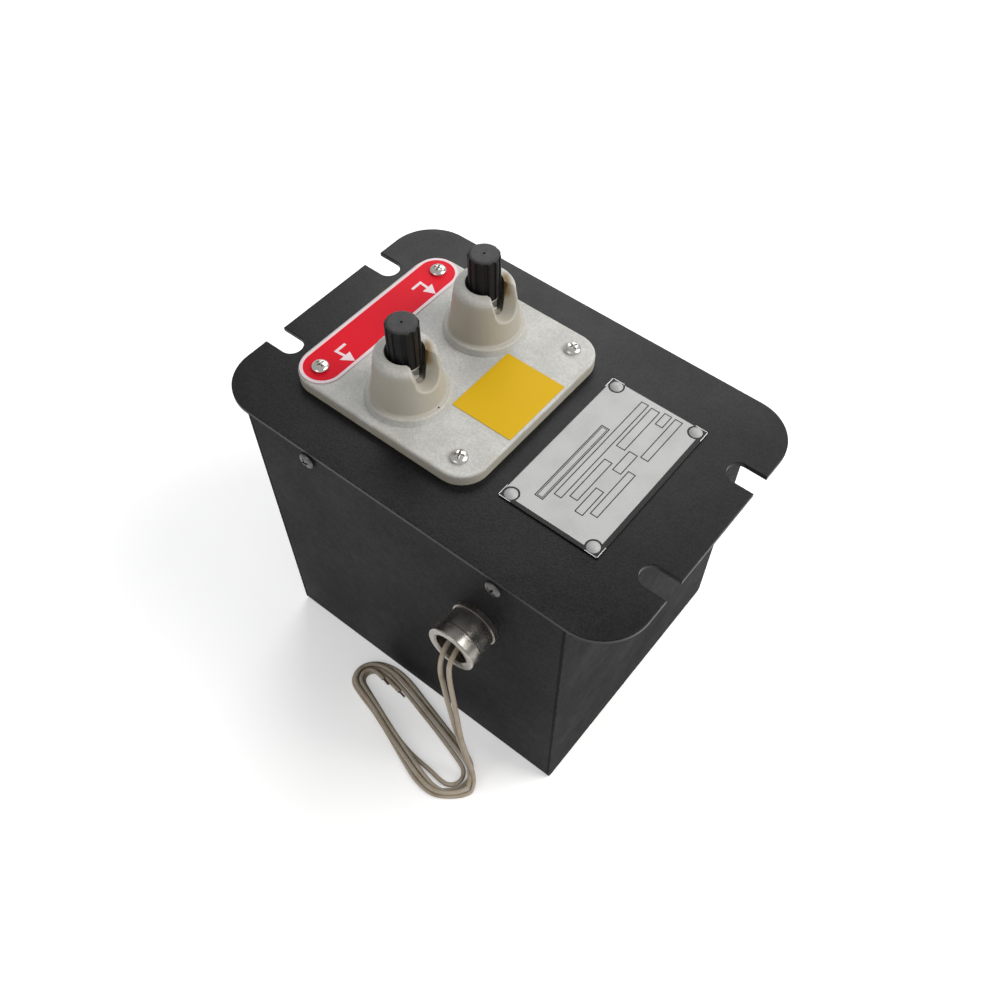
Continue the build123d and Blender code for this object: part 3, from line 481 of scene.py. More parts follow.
@dataclass(frozen=True)
class BlackMoulding(Finish):
    """Black satin moulding with dust where it faces up, and a painted sheen on its upward faces."""

    relief_strength: float = 0.5
    # The grey of the dust and of the painted sheen on upward faces.
    dust_and_sheen: Colour = (0.055, 0.055, 0.057)

    def paint(self, tree: Tree, shader: Node) -> None:
        """Black, with a painted sheen and dust on faces that look up, and a fine moulded texture.
        """
        at = tree.place()
        dust = effects.dust.use(tree, amount=0.6, scale=420.0)[0]
        # Painted sheen: faces that look up are made greyer, as if lit from above.
        painted_sheen = tree.ramp(tree.upward(), 0.75, 0.99, 0.0, 0.62)
        coats = ((painted_sheen, self.dust_and_sheen), (tree.times(dust, 0.5), self.dust_and_sheen))
        base = tree.layers(self.colour, *coats)
        self.cover(tree, shader, base, tree.noise(at, 2200.0, 4.0, 0.6))
        self.roughen(tree, shader, tree.noise(at, 800.0, 4.0), 0.06, 0.1)


@dataclass(frozen=True)
class PlatedMetal(Finish):
    """Plated or bare metal with turning marks along one axis, spotted, and with painted shade below
    a given level, as in its recesses.
    """

    relief: float = 0.02 * MM
    stain: Colour = (0.10, 0.08, 0.06)
    stain_amount: float = 0.4
    axis: int = 2
    pitch: float = 0.35 * MM
    metallic: float = 1.0
    # The colour of the painted shade.
    dark: Colour = (0.012, 0.012, 0.012)
    shade_below: float = -1.0
    shade_blend: float = 0.01 * MM

    def paint(self, tree: Tree, shader: Node) -> None:
        """Metal whose stains are less bright and less smooth than the rest."""
        at = tree.place()
        spots = tree.ramp(tree.noise(at, 420.0, 6.0, 0.7), 0.52, 0.74, 0.0, self.stain_amount)
        base = tree.mix(spots, self.colour, self.stain)
        places = tree.axes(at)
        # Painted shade: below the given level the colour goes dark.
        if self.shade_below > 0:
            end = self.shade_below
            base = tree.mix(tree.ramp(places[2], end + self.shade_blend, end), base, self.dark)
        marks = effects.turning.use(tree, along=places[self.axis], pitch=self.pitch)[0]
        self.cover(tree, shader, base, marks)
        shine = tree.ramp(spots, 0.0, 1.0, self.metallic, 0.45 * self.metallic)
        tree.feed(shader.inputs["Metallic"], shine)
        smooth, dull = 0.75 * self.roughness, 1.3 * self.roughness
        smear = tree.ramp(tree.noise(at, 160.0, 4.0), 0.3, 0.7, smooth, dull)
        tree.feed(shader.inputs["Roughness"], tree.math("ADD", smear, tree.times(spots, 0.3)))


@dataclass(frozen=True)
class PrintedFilm(Finish):
    """A printed plastic film: slightly uneven ink, a fine orange peel and a soft gloss."""

    relief: float = 0.03 * MM
    relief_strength: float = 0.4
    fade: Colour = (0.5, 0.5, 0.5)
    fade_amount: float = 0.12

    def paint(self, tree: Tree, shader: Node) -> None:
        """Ink that is a little faded in patches."""
        at = tree.place()
        blotch = effects.blotches.use(tree, scale=70.0, fine=1200.0)[0]
        faded = tree.ramp(blotch, 0.40, 0.66, 0.0, self.fade_amount)
        stretched = tree.vector("MULTIPLY", at, (1.0, 0.25, 1.0))[0]
        scuffs = tree.ramp(tree.noise(stretched, 900.0, 5.0, 0.7), 0.64, 0.8, 0.0, 0.22)
        base = tree.layers(self.colour, (faded, self.fade), (scuffs, self.fade))
        self.cover(tree, shader, base, tree.noise(at, 500.0, 3.0))
        self.roughen(tree, shader, blotch, 0.05, 0.1)


@dataclass(frozen=True)
class WovenSleeve(Finish):
    """Braided glass-fibre sleeving: crossing pale yarns, darker gaps and handling soil."""

    relief: float = 0.12 * MM
    relief_strength: float = 0.7
    gap: Colour = (0.24, 0.17, 0.10)
    soil: Colour = (0.34, 0.27, 0.18)
    yarns: float = 7.0
    slant: float = 260.0

    def paint(self, tree: Tree, shader: Node) -> None:
        """Yarns that cross at a slant, from the curve's own coordinates."""
        at = tree.place()
        along, around, _ = tree.axes(tree.add("ShaderNodeTexCoord").outputs["UV"])
        length = tree.times(along, self.slant * self.yarns)
        turn = tree.times(around, FULL_TURN * self.yarns)
        right_hand = tree.math("SINE", tree.math("ADD", length, turn))
        left_hand = tree.math("SINE", tree.math("SUBTRACT", length, turn))
        weave = tree.math("MAXIMUM", right_hand, left_hand)
        cover = tree.ramp(weave, -0.4, 0.7)
        soil = tree.ramp(tree.noise(at, 110.0, 5.0, 0.65), 0.42, 0.66, 0.0, 0.75)
        base = tree.layers(self.gap, (cover, self.colour), (soil, self.soil))
        fuzz = tree.noise(at, 3500.0, 3.0)
        height = tree.math("ADD", tree.times(weave, 0.5), tree.times(fuzz, 0.5))
        self.cover(tree, shader, base, height)


@dataclass(frozen=True)
class Layered(Finish):
    """Stacked, wound or pressed material: fine lines across one axis over a mottled colour."""

    line: Colour = (0.05, 0.05, 0.05)
    axis: int = 2
    pitch: float = 0.5 * MM
    metallic: float = 0.0

    def paint(self, tree: Tree, shader: Node) -> None:
        """Lines between the layers, in colour and in relief."""
        phase = tree.times(tree.axes(tree.place())[self.axis], FULL_TURN / self.pitch)
        wave = tree.math("SINE", phase)
        blotch = effects.blotches.use(tree, scale=60.0, fine=700.0)[0]
        mottle, lines = tree.ramp(blotch, 0.3, 0.7), tree.ramp(wave, -0.5, -1.0, 0.0, 0.8)
        coats = ((mottle, self.colour), (lines, self.line))
        base = tree.layers(shaded(self.colour, 0.8), *coats)
        self.cover(tree, shader, base, wave)
        shader.inputs["Metallic"].default_value = self.metallic


def solid_film(
    name: str, loops: Sequence[Sequence[Vector]], low: float, high: float
) -> bpy.types.Object:
    """A thin flat piece with any number of holes.

    Args:
        name: the piece's name.
        loops: its outlines in plan, outer ones and holes alike.
        low: the level of its underside.
        high: the level of its face.

    Returns:
        The piece.
    """
    mesh = bmesh.new()
    edges = []
    for loop in loops:
        corners = [mesh.verts.new((point.x, point.y, high)) for point in loop]
        edges += [mesh.edges.new(pair) for pair in zip(corners, corners[1:] + corners[:1])]
    bmesh.ops.triangle_fill(mesh, use_beauty=True, use_dissolve=False, edges=edges)
    for face in mesh.faces:
        if face.normal.z < 0:
            face.normal_flip()
    walls = bmesh.ops.extrude_face_region(mesh, geom=mesh.faces[:])
    lowered = [part for part in walls["geom"] if isinstance(part, bmesh.types.BMVert)]
    bmesh.ops.translate(mesh, verts=lowered, vec=(0, 0, low - high))
    bmesh.ops.recalc_face_normals(mesh, faces=mesh.faces[:])
    data = bpy.data.meshes.new(name)
    mesh.to_mesh(data)
    mesh.free()
    return shown(name, data)


def shown(name: str, data: bpy.types.ID) -> bpy.types.Object:
    """A new object in the scene."""
    piece = bpy.data.objects.new(name, data)
    bpy.context.scene.collection.objects.link(piece)
    return piece


def polar(centre: Vector, radius: float, turn: float) -> Vector:
    """The point in plan at a turn round a centre."""
    return Vector((centre.x + radius * math.cos(turn), centre.y + radius * math.sin(turn)))


def rectangle(low: Vector, high: Vector) -> list[Vector]:
    """The corners of a rectangle in plan."""
    return [Vector(point) for point in (low.xy, (high.x, low.y), high.xy, (low.x, high.y))]


def circle(centre: Vector, radius: float) -> list[Vector]:
    """Points round a circle in plan."""
    turns = [FULL_TURN * step / CIRCLE_STEPS for step in range(CIRCLE_STEPS)]
    return [polar(centre, radius, turn) for turn in turns]


def stadium(centre: Vector, length: float, width: float, steps: int = 24) -> list[Vector]:
    """The outline of a slot shape that lies along Y."""
    radius = width / 2
    points = []
    for sign, start in ((1, 0.0), (-1, math.pi)):
        end = Vector((centre.x, centre.y + sign * (length / 2 - radius)))
        points += [polar(end, radius, start + math.pi * step / steps) for step in range(steps + 1)]
    return points


def middle(node: str) -> Vector:
    """The middle of a node's box."""
    low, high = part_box(node)
    return (low + high) / 2


def dress(nodes: Iterable[str], finish: Finish) -> None:
    """Gives CAD nodes a finish."""
    for name in nodes:
        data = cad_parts[name].data
        data.materials.clear()
        data.materials.append(finish.material())
        log.info("dressed %s with %s", name, finish.name)


def settle(piece: bpy.types.Object, finish: Finish) -> None:
    """Gives a new piece of the housing its finish."""
    piece.data.materials.append(finish.material())
    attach(piece, HOUSING)
    log.info("built %s", piece.name)


@dataclass
class SteelCase:
    """The case, the cover plate and the screws between them."""

    wrap: str = "case_wrap"
    ends: tuple[str, ...] = ("end_panel_left", "end_panel_right")
    plate: str = "cover_plate"
    rails: tuple[str, ...] = ("front_rail", "rear_rail")
    coat: Colour = (0.0098, 0.0094, 0.0101)
    # The end panels and the plate take darker shares of one coat, as painted shade.
    end_share: float = 0.62
    plate_shade_share: float = 0.42

    def dress(self) -> None:
        """Coats the shell, the plate and the rails, and finishes the screws; the end panels and the
        plate take darker copies of the wall coat as painted shade.
        """
        boxes = [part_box(name) for name in (self.wrap, *self.ends)]
        low = tuple(min(box[0][axis] for box in boxes) for axis in range(3))
        high = tuple(max(box[1][axis] for box in boxes) for axis in range(3))
        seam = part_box(self.wrap)[1].x
        wall = PowderCoat("wall coat", self.coat, 0.55, 0.08, seam_x=seam, low=low, high=high)
        dress((self.wrap,), wall)
        # Painted shade: the end panels get a darker copy of the wall coat.
        thin = shaded(self.coat, self.end_share)
        end = PowderCoat("shaded end coat", thin, 0.60, 0.05, dust_amount=0.02, low=low, high=high)
        dress(self.ends, end)
        low, high = (tuple(corner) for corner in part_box(self.plate))
        # Painted shade: the plate gets a darker copy of the wall coat, with more gloss.
        thin = shaded(self.coat, self.plate_shade_share)
        top = PowderCoat("shaded plate coat", thin, 0.37, 0.21, dust=(0.05, 0.05, 0.051),
                         dust_amount=0.10, mottle=0.85, low=low, high=high)
        dress((self.plate,), top)
        dress(self.rails, PowderCoat("rail primer", (0.06, 0.055, 0.05), 0.6, 0.3))
        zinc = PlatedMetal("cover screw zinc", (0.13, 0.127, 0.125), 0.38,
                           stain=(0.02, 0.02, 0.02), stain_amount=0.9, axis=1)
        dress(("cover_screws",), zinc)


@dataclass
class TerminalBoard:
    """The moulded board with its screws, label and sticker."""

    board: str = "terminal_board"
    label: str = "voltage_label"
    label_border: float = 1.4 * MM
    film: float = 0.06 * MM
    screw_hole: float = 2.4 * MM
    screw_head: float = 3.75 * MM
    arrow_stem: float = 1.3 * MM
    arrow_head: float = 6.2 * MM
    arrow_start: float = 21.6 * MM
    arrow_bend: float = 27.9 * MM
    arrow_reach: float = 10.6 * MM
    arrow_barb: float = 5.4 * MM
    arrow_lean: float = -1.1 * MM

    def dress(self) -> None:
        """Gives the moulding, the fastenings and the plain films their finishes."""
        low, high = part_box(self.board)
        plate_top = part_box("cover_plate")[1].z
        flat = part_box(self.label)[0].z
        sockets = tuple(tuple(middle(f"{place}_terminal_stud").xy) for place in PLACES)
        moulding = BoardMoulding(
            "board moulding", (0.475, 0.475, 0.455), 0.5, 0.3, sockets=sockets, flat_level=flat,
            rim_level=high.z, low=(low.x, low.y, plate_top), high=(high.x, high.y, flat))
        dress((self.board,), moulding)
        zinc = PlatedMetal("screw zinc", (0.66, 0.65, 0.62), 0.22, stain_amount=0.25)
        dress(("board_screws",), zinc)
        white = PrintedFilm("label white", (0.64, 0.53, 0.56), 0.4, 0.2, fade=(0.5, 0.38, 0.42))
        dress((self.label,), white)
        yellow = PrintedFilm(
            "sticker yellow", (0.55, 0.335, 0.006), 0.42, 0.08, fade=(0.48, 0.32, 0.03))
        dress(("board_sticker",), yellow)

    def build(self) -> None:
        """Prints the label's red field and its two white arrows."""
        low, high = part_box(self.label)
        centre = (low + high) / 2
        size = high - low
        screw_low, screw_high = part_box("board_screws")
        reach = (screw_high.y - screw_low.y) / 2 - self.screw_head
        screws = [Vector((centre.x, centre.y + sign * reach)) for sign in (-1, 1)]
        border = 2 * self.label_border
        loops = [stadium(centre, size.y - border, size.x - border)]
        loops += [circle(screw, self.screw_hole) for screw in screws]
        red = PrintedFilm("label red", (0.58, 0.004, 0.016), 0.4, 0.08, fade=(0.56, 0.03, 0.05))
        settle(solid_film("label_field", loops, high.z, high.z + self.film), red)
        white = PrintedFilm(
            "label arrow white", (0.68, 0.57, 0.60), 0.4, 0.2, fade=(0.6, 0.42, 0.46))
        for place, sign in zip(PLACES, (-1, 1)):
            outline = self._arrow(centre, high.x - self.label_border, sign)
            name = f"{place}_label_arrow"
            arrow = solid_film(name, [outline], high.z, high.z + 2 * self.film)
            settle(arrow, white)

    def _arrow(self, centre: Vector, tip: float, sign: int) -> list[Vector]:
        """An arrow that starts along the label and turns towards the terminals.

        Args:
            centre: the label's middle.
            tip: how far towards the terminals its tip reaches.
            sign: which half of the label the arrow is in.

        Returns:
            The arrow's outline.
        """
        back, neck = tip - self.arrow_reach, tip - self.arrow_barb
        start, bend = self.arrow_start, self.arrow_bend
        axis = bend + self.arrow_lean
        stem, half_stem, half_head = self.arrow_stem, self.arrow_stem / 2, self.arrow_head / 2
        outline = [
            (back, start),
            (back, bend),
            (neck, axis + half_stem),
            (neck, axis + half_head),
            (tip, bend + 1.6 * self.arrow_lean),
            (neck, axis - half_head),
            (neck, axis - half_stem),
            (back + stem, bend - stem),
            (back + stem, start),
        ]
        return [Vector((x, centre.y + sign * y)) for x, y in outline]


@dataclass
class Terminals:
    """The two high-tension terminals: knobs, inserts, studs, nuts and washers."""

    def dress(self) -> None:
        """Gives each terminal's pieces their finishes."""
        black = BlackMoulding("knob black", (0.0065, 0.0062, 0.0068), 0.5, 0.22)
        brass = PlatedMetal("stud brass", (0.62, 0.46, 0.20), 0.32, relief=0.2 * MM,
                            stain=(0.20, 0.13, 0.05), pitch=1.0 * MM)
        grey = PlatedMetal("nut zinc", (0.30, 0.30, 0.29), 0.42, stain_amount=0.6)
        bright = PlatedMetal("washer zinc", (0.70, 0.69, 0.66), 0.22, stain_amount=0.15)
        for place in PLACES:
            dress((f"{place}_terminal_knob",), black)
            dress((f"{place}_terminal_stud", f"{place}_knob_insert"), brass)
            dress((f"{place}_terminal_nuts",), grey)
            dress((f"{place}_stud_washers", f"{place}_clamp_washer"), bright)


@dataclass
class Nameplate:
    """The riveted nameplate, with a black printed border and plain ruled boxes.

    The boxes are left, right, front and rear edges in millimetres in the frame.
    """

    low_border: Vector = Vector((0.6, 1.8, 0.0)) * MM
    high_border: Vector = Vector((2.1, 0.7, 0.0)) * MM
    bright_edge: float = 0.3 * MM
    corner: float = 6.0 * MM
    sheet_skin: float = 0.05 * MM
    film: float = 0.05 * MM
    line: float = 0.42 * MM
    ring: float = 3.65 * MM
    rivet_reach: float = 2.9 * MM
    rivet_hole: float = 1.7 * MM
    single_rule: tuple[float, ...] = (0.0, 1.0)
    double_rule: tuple[float, ...] = (0.0, 1.0, 1.7, 2.4)
    boxes: tuple[tuple[float, float, float, float], ...] = (
        (37.3, 41.5, -29.7, 16.3), (43.0, 46.8, -24.6, 37.4), (48.5, 52.5, -21.6, 2.6),
        (48.2, 52.6, 10.9, 37.1), (54.3, 58.3, -26.2, -11.4), (54.1, 58.4, -0.2, 12.1),
        (54.2, 58.0, 30.5, 38.2), (59.7, 63.4, -23.3, 3.4), (59.4, 63.3, 12.1, 38.3),
    )

    def dress(self) -> None:
        """Gives the sheet and its rivets their finishes."""
        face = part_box("nameplate")[1].z
        # The sheet's cut edges, below its face, carry painted shade.
        silver = PlatedMetal(
            "nameplate silver", (0.60, 0.60, 0.60), 0.38, stain_amount=0.12, axis=0,
            pitch=0.3 * MM, shade_below=face - self.sheet_skin, metallic=0.6)
        dress(("nameplate",), silver)
        aluminium = PlatedMetal(
            "rivet aluminium", (0.36, 0.36, 0.36), 0.6, 0.3, stain_amount=0.2, metallic=0.15)
        dress(("nameplate_rivets",), aluminium)

    def build(self) -> None:
        """Prints the pale field, the border round it and the ruled boxes."""
        low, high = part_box("nameplate")
        rivet_low, rivet_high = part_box("nameplate_rivets")
        reach = self.rivet_reach
        rivets = [Vector((x, y)) for x in (rivet_low.x + reach, rivet_high.x - reach)
                  for y in (rivet_low.y + reach, rivet_high.y - reach)]
        black = PrintedFilm(
            "nameplate black", (0.010, 0.010, 0.010), 0.45, 0.25, fade=(0.06, 0.06, 0.06))
        pale = PrintedFilm("nameplate field", (0.40, 0.40, 0.395), 0.45, 0.3,
                           fade=(0.33, 0.33, 0.32), fade_amount=0.6)
        border = [self._trimmed(low, high)] + [circle(rivet, self.rivet_hole) for rivet in rivets]
        self._print("nameplate_border", border, high.z, 1, black)
        field = self._notched(low + self.low_border, high - self.high_border, rivets)
        self._print("nameplate_field", [field], high.z, 2, pale)
        line = Vector((self.line, self.line))
        for number, (left, right, front, rear) in enumerate(self.boxes):
            near, far = Vector((left, front)) * MM, Vector((right, rear)) * MM
            rules = self.single_rule if number else self.double_rule
            loops = [rectangle(near + share * line, far - share * line) for share in rules]
            self._print(f"ruled_box_{number}", loops, high.z, 3, black)

    def _print(
        self, name: str, loops: Sequence[Sequence[Vector]], level: float, layers: int, ink: Finish
    ) -> None:
        """Prints one film of a number of layers on the sheet's face."""
        settle(solid_film(name, loops, level, level + layers * self.film), ink)

    def _trimmed(self, low: Vector, high: Vector) -> list[Vector]:
        """The border's outline: the sheet's own, drawn in at each corner, where its edge is bright.

        Args:
            low: the sheet's lowest corner.
            high: its highest corner.

        Returns:
            The outline, anticlockwise.
        """
        trim, reach = self.bright_edge, self.corner
        steps = ((0.0, reach), (trim, reach), (trim, trim), (reach, trim), (reach, 0.0))
        points = []
        for x, y, inward_x, inward_y in ((low.x, low.y, 1, 1), (high.x, low.y, -1, 1),
                                         (high.x, high.y, -1, -1), (low.x, high.y, 1, -1)):
            beside = [Vector((x + inward_x * dx, y + inward_y * dy)) for dx, dy in steps]
            points += beside if inward_x == inward_y else beside[::-1]
        return points

    def _notched(self, low: Vector, high: Vector, rivets: Sequence[Vector]) -> list[Vector]:
        """A rectangle whose corners are cut back round the rivets.

        Args:
            low: the rectangle's lowest corner.
            high: its highest corner.
            rivets: the middle of each corner's rivet.

        Returns:
            The outline, anticlockwise from the lowest corner.
        """
        points = []
        for number, corner in enumerate(rectangle(low, high)):
            rivet = min(rivets, key=lambda centre: (centre - corner).length)
            off = corner - rivet
            reach_x = math.sqrt(max(0.0, self.ring ** 2 - off.x ** 2))
            reach_y = math.sqrt(max(0.0, self.ring ** 2 - off.y ** 2))
            begin = math.atan2(math.copysign(reach_x, -off.y), off.x)
            end = math.atan2(off.y, math.copysign(reach_y, -off.x))
            if number % 2:
                begin, end = end, begin
            if end > begin:
                end -= FULL_TURN
            turns = [begin + (end - begin) * step / ARC_STEPS for step in range(ARC_STEPS + 1)]
            points += [polar(rivet, self.ring, turn) for turn in turns]
        return points


@dataclass(frozen=True)
class CoilShape:
    """The plan of a coil of lead: two round ends joined by straight sides, in millimetres.

    Each station of each turn has how far the lead lies inside the plan's outline, and its level.
    """

    turns: tuple[tuple[tuple[float, float], ...], ...]
    end_share: float
    left_centre: tuple[float, float] = (-20.5, -84.7)
    left_radius: float = 12.0
    right_centre: tuple[float, float] = (44.0, -98.0)
    right_radius: float = 15.5
    least_radius: float = 0.5
    least_level: float = 1.2
    steps: int = 20

    def points(self) -> list[Vector]:
        """The lead's control points round its turns, in metres."""
        times = [turn + section.value for turn in range(len(self.turns)) for section in Section]
        insets = [inset for turn in self.turns for inset, _ in turn]
        levels = [level for turn in self.turns for _, level in turn]
        found = []
        for step in range(math.floor(self.end_share * self.steps) + 1):
            time = step / self.steps
            x, y = self._outline(time % 1.0, self._between(times, insets, time))
            level = max(self.least_level, self._between(times, levels, time))
            found.append(Vector((x, y, level)) * MM)
        return found

    @staticmethod
    def _between(times: Sequence[float], values: Sequence[float], time: float) -> float:
        """The value at a time, on a smooth line through the values on either side of it."""
        last = len(values) - 1
        index = min(max(bisect_left(times, time), 1), last) - 1
        span = times[index + 1] - times[index]
        share = (time - times[index]) / span
        slopes = []
        for place in (index, index + 1):
            before, after = max(0, place - 1), min(last, place + 1)
            rise = values[after] - values[before]
            slopes.append(span * rise / (times[after] - times[before]))
        square, cube = share ** 2, share ** 3
        return ((2 * cube - 3 * square + 1) * values[index]
                + (cube - 2 * square + share) * slopes[0]
                + (3 * square - 2 * cube) * values[index + 1]
                + (cube - square) * slopes[1])

    def _outline(self, share: float, inset: float) -> Vector:
        """A point of the outline, clockwise from the right end, drawn in by the inset.

        Args:
            share: how far round, from 0 to 1.
            inset: how far inside the outline, in millimetres.

        Returns:
            The point in plan, in millimetres.
        """
        left_end, right_end = Vector(self.left_centre), Vector(self.right_centre)
        span = right_end - left_end
        heading = math.atan2(span.y, span.x)
        tilt = math.acos((self.left_radius - self.right_radius) / span.length)
        rear, front = heading + tilt, heading - tilt
        left = max(self.least_radius, self.left_radius - inset)
        right = max(self.least_radius, self.right_radius - inset)
        straight = math.sqrt(span.length ** 2 - (self.left_radius - self.right_radius) ** 2)
        half_right = tilt * self.right_radius
        left_turn = FULL_TURN - 2 * tilt
        runs = [half_right, straight, left_turn * self.left_radius, straight, half_right]
        place, travel = 0, share * sum(runs)
        while place < len(runs) - 1 and travel > runs[place]:
            travel -= runs[place]
            place += 1
        part = min(1.0, travel / runs[place])
        if place == 0:
            return polar(right_end, right, heading + part * (front - heading))
        if place == 1:
            return polar(right_end, right, front).lerp(polar(left_end, left, front), part)
        if place == 2:
            return polar(left_end, left, front - part * left_turn)
        if place == 3:
            return polar(left_end, left, rear).lerp(polar(right_end, right, rear), part)
        return polar(right_end, right, rear + part * (heading - rear))


@dataclass(frozen=True)
class FreeLead:
    """One supply lead in woven sleeving, from the bush in the nipple to its bare end on the floor.

    The route starts at the bush: X and Y from there in millimetres, and the level as a share of
    the nipple's. The landing is in millimetres in the frame.
    """

    name: str
    route: tuple[Point, ...]
    landing: tuple[Point, ...]
    coil: CoilShape
    length: float
    diameter: float = 2.3 * MM
    bare_steps: tuple[float, ...] = (-1.5 * MM, 3.0 * MM, 4.0 * MM)
    bare_radius: float = 0.55 * MM

    def points(self) -> list[Vector]:
        """The lead's control points: the hanging stretch, the landing and the turns."""
        nipple = middle("conduit_nipple")
        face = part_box("lead_bush")[0].y
        hanging = [Vector((nipple.x + dx * MM, face + dy * MM, share * nipple.z))
                   for dx, dy, share in self.route]
        landing = [Vector(point) * MM for point in self.landing]
        return hanging + landing + self.coil.points()

    def build(self, sleeve: Finish, tinned: Finish) -> None:
        points = self.points()
        lead = self._spline(f"{self.name}_woven", points, self.diameter / 2)
        settle(lead, sleeve)
        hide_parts(self.name, f"{self.name}_coil")
        heading = (points[-1] - points[-2]).normalized()
        tip = [points[-1] + step * heading for step in self.bare_steps]
        end = self._spline(f"{self.name}_bare_end", tip, self.bare_radius)
        settle(end, tinned)

    @staticmethod
    def _spline(name: str, points: Sequence[Vector], radius: float) -> bpy.types.Object:
        """A round curve that follows its control points."""
        curve = bpy.data.curves.new(name, "CURVE")
        curve.dimensions = "3D"
        curve.bevel_depth = radius
        curve.bevel_resolution = 3
        curve.resolution_u = 6
        curve.use_fill_caps = True
        spline = curve.splines.new("NURBS")
        spline.points.add(len(points) - 1)
        for control, point in zip(spline.points, points):
            control.co = (*point, 1.0)
        spline.order_u = 3
        spline.use_endpoint_u = True
        return shown(name, curve)


LEFT_LEAD = FreeLead(
    "left_lead",
    route=(
        (-3.4, 0.0, 0.989), (-3.4, -3.6, 0.989), (-2.4, -7.0, 0.985), (-2.0, -10.0, 0.946),
        (-1.4, -11.4, 0.868), (-0.8, -11.0, 0.790), (0.2, -11.0, 0.678), (1.7, -11.0, 0.571),
        (3.1, -11.0, 0.466), (4.9, -11.0, 0.362), (7.4, -11.0, 0.249), (10.4, -11.1, 0.140),
    ),
    landing=((52.6, -93.4, 8.0), (54.8, -96.6, 5.4)),
    coil=CoilShape((
        ((2.6, 5.0), (3.6, 5.2), (1.3, 3.2), (1.7, 3.3), (2.3, 5.0), (4.1, 3.2),
         (2.0, 3.2), (2.9, 3.2), (0.5, 1.2), (1.9, 1.4), (3.8, 2.0), (6.2, 3.2)),
        ((3.8, 3.2), (4.8, 3.1), (3.9, 3.2), (4.2, 3.3), (4.7, 5.0), (6.3, 3.2),
         (5.4, 3.1), (6.2, 3.5), (7.8, 1.6), (7.8, 1.2), (7.8, 1.2), (7.8, 1.2)),
    ), end_share=1.60),
    length=0.42,
)

RIGHT_LEAD = FreeLead(
    "right_lead",
    route=(
        (1.4, 0.0, 0.991), (1.6, -3.4, 0.991), (2.2, -6.8, 0.984), (2.3, -9.6, 0.952),
        (2.9, -10.7, 0.890), (3.4, -11.0, 0.815), (4.4, -11.2, 0.740), (5.4, -11.4, 0.645),
        (6.5, -11.5, 0.530), (7.3, -11.5, 0.405), (8.6, -11.5, 0.310), (11.2, -11.5, 0.194),
    ),
    landing=((53.6, -92.9, 11.0), (56.0, -94.6, 5.0), (57.6, -97.6, 2.2)),
    coil=CoilShape((
        ((1.2, 1.5), (3.2, 1.2), (-0.5, 1.2), (0.2, 1.2), (2.2, 1.2), (3.0, 1.2),
         (0.8, 1.2), (1.6, 1.2), (-1.9, 1.2), (-0.5, 1.2), (1.5, 1.2), (3.8, 1.2)),
        ((6.2, 1.2), (6.2, 1.2), (2.6, 1.2), (3.0, 1.2), (3.5, 3.0), (5.2, 1.2),
         (3.8, 1.2), (4.4, 1.2), (3.2, 1.2), (4.5, 1.2), (6.2, 1.2), (8.8, 1.2)),
        ((8.9, 1.2), (9.1, 1.2), (8.9, 1.2), (5.6, 1.2), (4.8, 1.2), (6.9, 1.2),
         (6.7, 1.2), (6.5, 1.2), (5.5, 1.2), (6.7, 1.2), (6.7, 1.2), (6.7, 1.2)),
    ), end_share=2.65),
    length=0.61,
)


@dataclass
class Supply:
    """The conduit nipple and the two free leads."""

    leads: tuple[FreeLead, ...] = (LEFT_LEAD, RIGHT_LEAD)

    def dress(self) -> None:
        """Gives the nipple, its lock nut and its bush their finishes."""
        plating = PlatedMetal("nipple plating", (0.38, 0.36, 0.33), 0.28,
                              stain=(0.11, 0.09, 0.065), stain_amount=0.35, axis=1, pitch=0.7 * MM)
        dress(("conduit_nipple", "nipple_lock_nut"), plating)
        fibre = Layered("bush fibre", (0.055, 0.028, 0.018), 0.7, line=(0.02, 0.01, 0.008))
        dress(("lead_bush",), fibre)

    def build(self) -> None:
        """Makes both leads."""
        sleeve = WovenSleeve("woven sleeving", (0.53, 0.475, 0.40), 0.85, 0.2)
        tinned = PlatedMetal("tarnished strands", (0.16, 0.13, 0.10), 0.5)
        for lead in self.leads:
            lead.build(sleeve, tinned)


@dataclass
class Internals:
    """The core, coils, wiring and filling, which the case hides."""

    def dress(self) -> None:
        """Gives each inner piece its finish."""
        steel = Layered("core steel", (0.22, 0.22, 0.24), 0.45, metallic=0.8)
        dress(("core_e_stack", "core_i_stack", "magnetic_shunts"), steel)
        varnish = Layered(
            "winding varnish", (0.30, 0.15, 0.06), 0.4, line=(0.10, 0.05, 0.02), axis=0)
        dress((f"{coil}_winding" for coil in COILS), varnish)
        pressed = Layered("pressed board", (0.36, 0.26, 0.15), 0.8,
                          line=(0.28, 0.20, 0.12), axis=0, pitch=1.2 * MM)
        dress((f"{coil}_former" for coil in COILS), pressed)
        plain = PlatedMetal("clamp steel", (0.38, 0.37, 0.36), 0.45)
        dress(("clamp_bars", "core_feet", "core_bolts", "core_nuts", "earth_strap"), plain)
        wire = Layered("wire varnish", (0.05, 0.02, 0.018), 0.45, line=(0.03, 0.015, 0.01))
        dress(("centre_tap_link", "primary_tails"), wire)
        dress((f"{place}_high_tension_wire" for place in PLACES), wire)
        # The filling's upward faces also get the painted sheen.
        pitch = BlackMoulding(
            "filling pitch", (0.006, 0.006, 0.006), 0.35, dust_and_sheen=(0.02, 0.02, 0.02))
        dress(("filling",), pitch)


